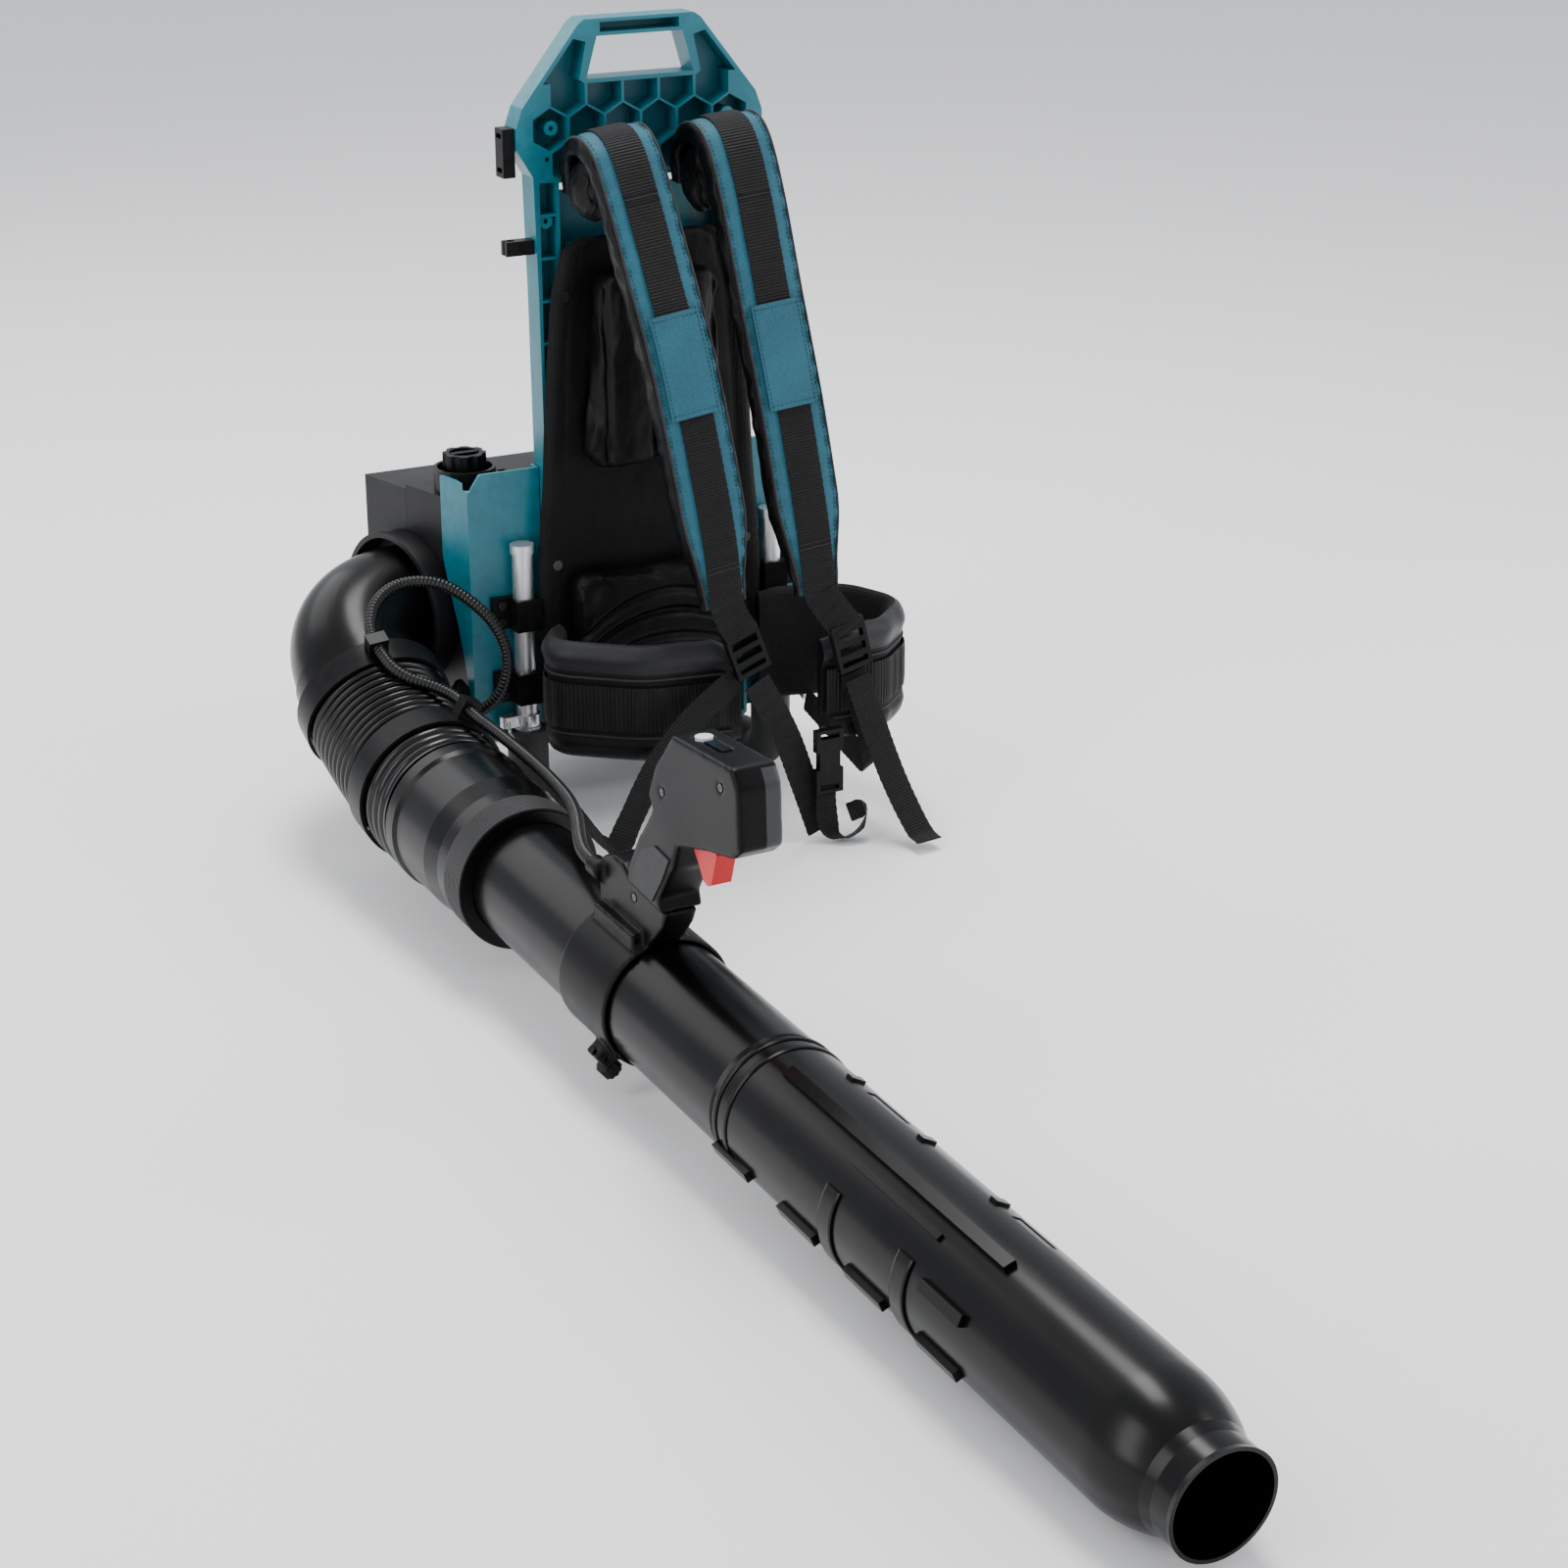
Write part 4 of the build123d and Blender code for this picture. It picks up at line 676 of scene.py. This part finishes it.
def wing(tag, pts, radii, seed, cad):
    line = belt_line(pts, radii, 0.0035)
    ts = tangents(line)
    tot = len(line) - 1
    rows, uv, cls = [], [], []
    NF = 34
    for i, (p, t) in enumerate(zip(line, ts)):
        n = outward(p, t)
        s = i * 0.0035
        left = (tot - i) * 0.0035
        end = smooth01(0.0, 0.030, left)
        start = smooth01(-0.004, 0.02, s)
        lo = 0.084 + (1 - end) * 0.012
        hi = 0.188 - (1 - end) * 0.010 - (1 - start) * 0.004
        th = 0.0068 * (0.55 + 0.45 * end)
        ring, ruv, kinds = [], [], []
        crumple = 0.0022 * (1 - smooth01(0.0, 0.085, left))
        for side in (1, -1):
            for k in range(NF + 1):
                f = k / NF if side == 1 else 1 - k / NF
                z = lo + (hi - lo) * f
                e = abs(2 * f - 1)
                body = th * (1 - e ** 7) ** 0.5 if e < 1 else 0.0
                o = body
                if side == 1:
                    lip = math.exp(-((z - (hi - 0.0125)) / 0.0085) ** 2)
                    low = math.exp(-((z - (lo + 0.0125)) / 0.0085) ** 2)
                    flat = smooth01(0.108, 0.114, z) * (1 - smooth01(0.151, 0.157, z))
                    o += 0.0034 * lip + 0.0018 * low - 0.0016 * flat
                    w1 = noise.noise(V(s * 30 + seed, z * 26, 0.2))
                    w2 = noise.noise(V(s * 78, z * 22 + seed, 1.7))
                    o += (0.0013 * w1 + 0.0009 * w2) * (lip + low * 1.4 + 0.12) * (1 - 0.8 * flat)
                    o += crumple * noise.noise(V(s * 85, z * 60, seed)) * (1 - flat * 0.6)
                    o -= 0.0013 * math.exp(-((z - 0.1585) / 0.0014) ** 2) + 0.0013 * math.exp(-((z - 0.1065) / 0.0014) ** 2)
                else:
                    o = -(o + 0.0008 * noise.noise(V(s * 40, z * 40, seed + 3)))
                zz = z + crumple * 0.8 * noise.noise(V(s * 60, 3.1, seed))
                ring.append(V(p.x + n.x * o, p.y + n.y * o, zz)); ruv.append((s, z + (0.2 if side == -1 else 0)))
                kinds.append(1 if side == 1 and z > 0.158 else 0 if side == 1 and z > 0.107 else 2 if side == 1 else 3)
        rows.append(ring); uv += ruv; cls = kinds
    verts, faces = grid(rows)
    per = len(rows[0])
    idx = [cls[j] for _ in range(len(rows) - 1) for j in range(per)] + [2, 2]
    o = make("belt_pad_" + tag, verts, faces, [M["shell"], M["lip"], M["satin"], M["mesh"]], idx, uv, sharp=75)
    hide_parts(cad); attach(o, "carrier")
    for z, nm in ((0.1585, "upper"), (0.1065, "lower")):
        ln = [V(p.x + outward(p, t).x * 0.0070, p.y + outward(p, t).y * 0.0070, z) for p, t in zip(line[2:-3], ts[2:-3])]
        v, f = grid(tube(ln, 0.0010, 8))
        pp = make(f"belt_piping_{tag}_{nm}", v, f, [M["bthread"]])
        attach(pp, "carrier")
    return line

wing("left", *LEFT, 2.4, "belt_wing_left")
wing("right", *RIGHT, 8.1, "belt_wing_right")

def ribbed(name, line, normals, width, t, mat, period=0.0026, amp=0.00022, body="carrier", slot="webbing", crown=0.0):
    """Webbing whose cross ribs are real relief."""
    ts = tangents(line)
    rows, uv, s = [], [], 0.0
    across = 7
    for i, (p, tg, nn) in enumerate(zip(line, ts, normals)):
        if i:
            s += (p - line[i - 1]).length
        n = (nn - tg * nn.dot(tg)).normalized()
        w = tg.cross(n).normalized()
        hw = width / 2 + 0.0002 * math.sin(s * 900)
        hh = t / 2 + amp * math.sin(2 * math.pi * s / period)
        ring, ruv = [], []
        for sg in (1, -1):
            for k in range(across):
                u = (-hw + 2 * hw * k / (across - 1)) * sg
                edge = 0.55 if k in (0, across - 1) else 1.0
                ring.append(p + w * u + n * (sg * hh * edge + crown * (1 - (u / hw) ** 2))); ruv.append((u, s))
        rows.append(ring); uv += ruv
    v, f = grid(rows)
    o = make(name, v, f, [mat], uvs=uv, sharp=60)
    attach(o, body)
    return o

def lerp_normals(ctrl, line):
    pts = [Vector(p) / 1000 for p, _ in ctrl]
    out = []
    for q in line:
        best = min(range(len(pts) - 1), key=lambda j: seg_dist(q, pts[j], pts[j + 1]))
        a, b = pts[best], pts[best + 1]
        f = max(0.0, min(1.0, (q - a).dot(b - a) / max(1e-9, (b - a).length_squared)))
        out.append(Vector(ctrl[best][1]).normalized().lerp(Vector(ctrl[best + 1][1]).normalized(), f).normalized())
    return out

def seg_dist(q, a, b):
    f = max(0.0, min(1.0, (q - a).dot(b - a) / max(1e-9, (b - a).length_squared)))
    return (a.lerp(b, f) - q).length

def web(name, ctrl, width, t=0.0016, mat=None, **kw):
    line = catmull([Vector(p) / 1000 for p, _ in ctrl], 0.00065)
    return ribbed(name, line, lerp_normals(ctrl, line), width / 1000, t, mat or M["web"], **kw)

for nm_, ln_, nn_ in web_later:
    ribbed(nm_, ln_, nn_, 0.0305, 0.0014, M["web"])

for tag, (pts, radii) in (("left", LEFT), ("right", RIGHT)):
    base = belt_line(pts, radii, 0.00065)
    tt = tangents(base)
    nn = [outward(p, t) for p, t in zip(base, tt)]
    ln = [V(p.x + n.x * 0.0084, p.y + n.y * 0.0084, 0.132) for p, n in zip(base, nn)]
    ribbed("belt_band_" + tag, ln[12:-4], nn[12:-4], 0.040, 0.0019, M["belt_web"], 0.0030, 0.00035)
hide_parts("belt_webbing")
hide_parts("belt_webbing")

F = (0, -1, 0)
lw = web("load_web_left", [((9, -151, 157), F), ((-33, -151.4, 128), F), ((-66, -151, 92), F), ((-92, -150.5, 46), F), ((-103, -149, 25), (-0.3, -0.9, -0.2)),
                           ((-109, -135, 24), (-0.8, -0.3, -0.5)), ((-122, -92, 46), (-0.95, -0.2, -0.2)), ((-141, -30, 78), (-0.98, -0.1, -0.1))], 24)
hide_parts("load_webbing_left")
lt = web("tail_left", [((24, -160, 155), F), ((50, -160.5, 106), F), ((67, -160, 62), F), ((86, -160, 8), F)], 25)
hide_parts("load_webbing_left")
rw = web("load_web_right", [((116, -160.5, 149), F), ((128, -160.5, 108), F), ((138, -160.2, 70), F), ((140, -150, 58), (0.4, -0.8, -0.4)),
                            ((141, -110, 62), (0.9, -0.2, -0.3)), ((141, -30, 78), (0.98, -0.1, -0.1))], 22)
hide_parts("load_webbing_right")
tail = [(-167, 146), (-176, 100), (-190, 52), (-214, 12), (-232, 6)]
ctrl = []
for i, (y, z) in enumerate(tail):
    a, b = tail[max(0, i - 1)], tail[min(len(tail) - 1, i + 1)]
    ty, tz = b[0] - a[0], b[1] - a[1]
    dz = z - 146
    ctrl.append(((118 + 0.2588 * -dz, y, 146 + 0.9659 * dz), (0, tz, -ty)))
rt = web("tail_right", ctrl, 25)
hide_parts("load_webbing_right")

web("belt_tail_loop", [((88, -167, 60), F), ((86, -171, 34), (-0.2, -1, 0.1)), ((88, -176, 11), (-0.5, -0.6, -0.6)), ((101, -180, 5), (0, -0.35, -0.95)),
                        ((116, -182, 14), (0.8, -0.4, -0.4)), ((118, -182, 30), (0.7, -0.5, 0.6)), ((104, -178, 27), (-0.2, -0.6, 0.8))], 18, 0.0014)
# ------------------------------------------------------------------ back pad
HALF = [(120, 108), (196, 108), (250, 106), (300, 101), (386, 96), (468, 88), (505, 78), (513, 60)]
def half_width(z):
    for (za, wa), (zb, wb) in zip(HALF, HALF[1:]):
        if z <= zb:
            return wa + (wb - wa) * (z - za) / (zb - za)
    return HALF[-1][1]

def back_pad():
    rows, uv, cls = [], [], []
    zs = [120 + 393 * k / 130 for k in range(131)]
    N = 60
    for z in zs:
        hw = half_width(z)
        vend = min((z - 120) / 10, (513 - z) / 10)
        ve = 1.0 if vend >= 1 else max(0.05, math.sqrt(max(0.0, 1 - (1 - vend) ** 2)))
        ring, ruv, kinds = [], [], []
        for side in (1, -1):
            for k in range(N + 1):
                u = (-hw + 2 * hw * k / N) * side
                d = hw - abs(u)
                r = 1.0 if d > 7 else math.sqrt(max(0.0, 1 - (1 - d / 7) ** 2))
                if side == 1:
                    roll = 2.0 * math.exp(-((d - 8.0) / 5.0) ** 2) - 1.1 * math.exp(-((d - 16.0) / 1.4) ** 2)
                    wr = 0.7 * noise.noise(V(u * 0.03, z * 0.025, 2.0)) + 0.35 * noise.noise(V(u * 0.09, z * 0.07, 5.0))
                    y = -4.1 - (3.6 + roll + wr) * r * ve
                else:
                    y = -4.1 + 3.5 * r * ve
                ring.append(V(u, y, z) / 1000); ruv.append((u / 1000, z / 1000))
                kinds.append(1 if side == 1 and d < 16 else 0)
        rows.append(ring); uv += ruv
        cls.append(kinds)
    v, f = grid(rows)
    per = len(rows[0])
    idx = [cls[i][j] for i in range(len(rows) - 1) for j in range(per)] + [0, 0]
    o = make("back_pad_cloth", v, f, [M["pad"], M["mesh"]], idx, uv, sharp=75)
    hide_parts("back_pad"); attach(o, "carrier")
back_pad()

def puff(name, outline, y0, y1, cad, cap, shape, mat):
    """A cushion: a slightly small closed form blown up as cloth, then given its sewn folds."""
    cx = sum(p[0] for p in outline) / len(outline)
    cz = sum(p[1] for p in outline) / len(outline)
    bm = bmesh.new()
    rings = []
    for y, k in ((y0, 0.90), (y0 + 4, 0.955), ((y0 + y1) / 2, 0.965), (y1 - 5, 0.94), (y1, 0.86)):
        rings.append([bm.verts.new(V(cx + (p[0] - cx) * k, y, cz + (p[1] - cz) * k) / 1000) for p in outline])
    n = len(outline)
    for a, b in zip(rings, rings[1:]):
        for j in range(n):
            bm.faces.new((a[j], a[(j + 1) % n], b[(j + 1) % n], b[j]))
    bm.faces.new(rings[0][::-1]); bm.faces.new(rings[-1])
    bmesh.ops.recalc_face_normals(bm, faces=bm.faces)
    me = bpy.data.meshes.new(name)
    bm.to_mesh(me); bm.free()
    o = bpy.data.objects.new(name, me)
    COLL.objects.link(o)
    bpy.context.view_layer.objects.active = o
    bpy.ops.object.select_all(action="DESELECT"); o.select_set(True)
    r = o.modifiers.new("r", "REMESH"); r.mode = "VOXEL"; r.voxel_size = 0.005
    bpy.ops.object.modifier_apply(modifier="r")
    rest = [v.co.copy() for v in o.data.vertices]
    c = o.modifiers.new("Cloth", "CLOTH")
    c.settings.use_pressure = True
    c.settings.uniform_pressure_force = 4
    c.settings.effector_weights.gravity = 0
    c.settings.quality = 5
    for fr in range(1, 21):
        SC.frame_set(fr)
    dg = bpy.context.evaluated_depsgraph_get()
    ev = o.evaluated_get(dg)
    got = [v.co.copy() for v in ev.data.vertices]
    o.modifiers.remove(c)
    SC.frame_set(1)
    for v, a, g in zip(o.data.vertices, rest, got):
        d = g - a
        v.co = a + (d.normalized() * min(d.length, cap) if d.length > 1e-9 else d)
    s = o.modifiers.new("s", "SUBSURF"); s.levels = 2; s.render_levels = 2
    bpy.ops.object.modifier_apply(modifier="s")
    for v in o.data.vertices:
        v.co = shape(v.co.copy())
        v.co.y = min(v.co.y, -0.0082)
    o.data.materials.clear(); o.data.materials.append(mat)
    for p in o.data.polygons:
        p.use_smooth = True
    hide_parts(cad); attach(o, "carrier")
    return o

def upper_shape(c):
    front = smooth01(-0.012, -0.026, c.y)
    groove = 0.0125 * math.exp(-(c.x / 0.0065) ** 2)
    lobe = 0.0022 * math.cos(c.x / 0.034 * math.pi)
    seam = 0.0035 * sum(math.exp(-((abs(c.x) - k) / 0.0022) ** 2) for k in (0.050,))
    wr = 0.0011 * noise.noise(V(c.x * 45, 1.0, c.z * 16)) + 0.0006 * noise.noise(V(c.x * 120, 3.0, c.z * 60))
    c.y += front * (groove + lobe + seam + wr)
    return c

def lumbar_shape(c):
    front = smooth01(-0.012, -0.028, c.y)
    wave = 0.0
    for z0, k, dep in ((0.205, 9.0, 0.0045), (0.186, 8.0, 0.006), (0.163, 6.0, 0.0045)):
        zc = z0 - k * c.x * c.x * 0.6
        wave += dep * math.exp(-((c.z - zc) / 0.0035) ** 2)
    wr = 0.0012 * noise.noise(V(c.x * 30, 4.0, c.z * 40)) + 0.0006 * noise.noise(V(c.x * 90, 7.0, c.z * 110))
    c.y += front * (wave + wr)
    return c

puff("upper_cushion_cloth", [(-60, 480), (-48, 492), (0, 492), (48, 492), (60, 480), (66, 405), (70, 330), (60, 312), (0, 312), (-60, 312), (-70, 330), (-66, 405)],
     -10, -30, "upper_cushion", 0.006, upper_shape, M["pad"])
puff("lumbar_cushion_cloth", [(-85, 148), (-78, 138), (0, 138), (78, 138), (85, 148), (85, 218), (78, 228), (0, 228), (-78, 228), (-85, 218)],
     -10, -31, "lumbar_cushion", 0.006, lumbar_shape, M["pad"])

# ------------------------------------------------------------------ handle and sleeve with moulded radii
def softened(name, nodes, voxel, rounds, mat, body):
    parts = []
    for n in nodes:
        src = NODES[n]
        c = bpy.data.objects.new(n + "_copy", src.data.copy())
        c.matrix_world = src.matrix_world.copy()
        COLL.objects.link(c)
        parts.append(c)
    o = join(parts, name) if len(parts) > 1 else parts[0]
    o.name = name
    bpy.ops.object.select_all(action="DESELECT")
    bpy.context.view_layer.objects.active = o
    o.select_set(True)
    r = o.modifiers.new("r", "REMESH"); r.mode = "VOXEL"; r.voxel_size = voxel
    bpy.ops.object.modifier_apply(modifier="r")
    s = o.modifiers.new("s", "SMOOTH"); s.factor = 0.5; s.iterations = rounds
    bpy.ops.object.modifier_apply(modifier="s")
    o.data.materials.clear(); o.data.materials.append(mat)
    for sl in o.material_slots:
        sl.link = "DATA"
    for p in o.data.polygons:
        p.use_smooth = True
    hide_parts(*nodes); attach(o, body)
    return o

hb = softened("handle_body", ["handle_shell_left", "handle_shell_right"], 0.0010, 46, M["black"], "pipe")
hb.data.materials.append(M["stripe"])
hc = [(c - P0) for c in (hb.matrix_world @ p.center for p in hb.data.polygons)]
wu = [(c.dot(D), c.dot(UX), c.dot(UY)) for c in hc]
w_top, u_top, v_top = max(q[0] for q in wu), max(q[1] for q in wu), max(q[2] for q in wu)
for p, (qw, qu, qv) in zip(hb.data.polygons, wu):
    if qw > w_top - 0.011 and u_top - 0.013 < qu < u_top - 0.001 and qv > v_top - 0.060:
        p.material_index = 1
softened("handle_sleeve_body", ["handle_sleeve"], 0.0012, 22, M["black"], "pipe")

# ------------------------------------------------------------------ floor, light
fl = make("floor", [(-8, -8, 0), (8, -8, 0), (8, 8, 0), (-8, 8, 0)], [(0, 1, 2, 3)], [])
m, nt, b = new_mat("floor_paper")
co = coords(nt)
nt.links.new(mix(nt, noise_tex(nt, co, 3.0, 3.0), (0.93, 0.93, 0.93), (0.96, 0.96, 0.96)), b.inputs["Base Color"])
b.inputs["Roughness"].default_value = 0.7
nt.links.new(bump(nt, noise_tex(nt, co, 300.0), 0.04, 0.0005), b.inputs["Normal"])
fl.data.materials.append(m)

w = bpy.data.worlds.new("studio")
w.use_nodes = True
w.node_tree.nodes["Background"].inputs["Color"].default_value = (0.93, 0.95, 1.0, 1)
w.node_tree.nodes["Background"].inputs["Strength"].default_value = 0.92
SC.world = w

def area(name, loc, target, size, power):
    d = bpy.data.lights.new(name, "AREA")
    d.shape = "RECTANGLE"
    d.size, d.size_y = size
    d.energy = power
    o = bpy.data.objects.new(name, d)
    o.location = loc
    o.rotation_euler = (Vector(target) - Vector(loc)).to_track_quat("-Z", "Y").to_euler()
    COLL.objects.link(o)
area("key", (-2.6, -0.9, 1.5), (0, -0.2, 0.25), (0.8, 2.4), 34)
area("top", (0.1, 0.3, 2.9), (0, -0.3, 0.2), (0.9, 1.8), 80)
area("fill", (2.1, -1.6, 1.5), (0, -0.3, 0.25), (0.5, 1.8), 30)
area("rim", (-0.9, 2.0, 1.8), (0, 0, 0.4), (2.0, 1.4), 17)
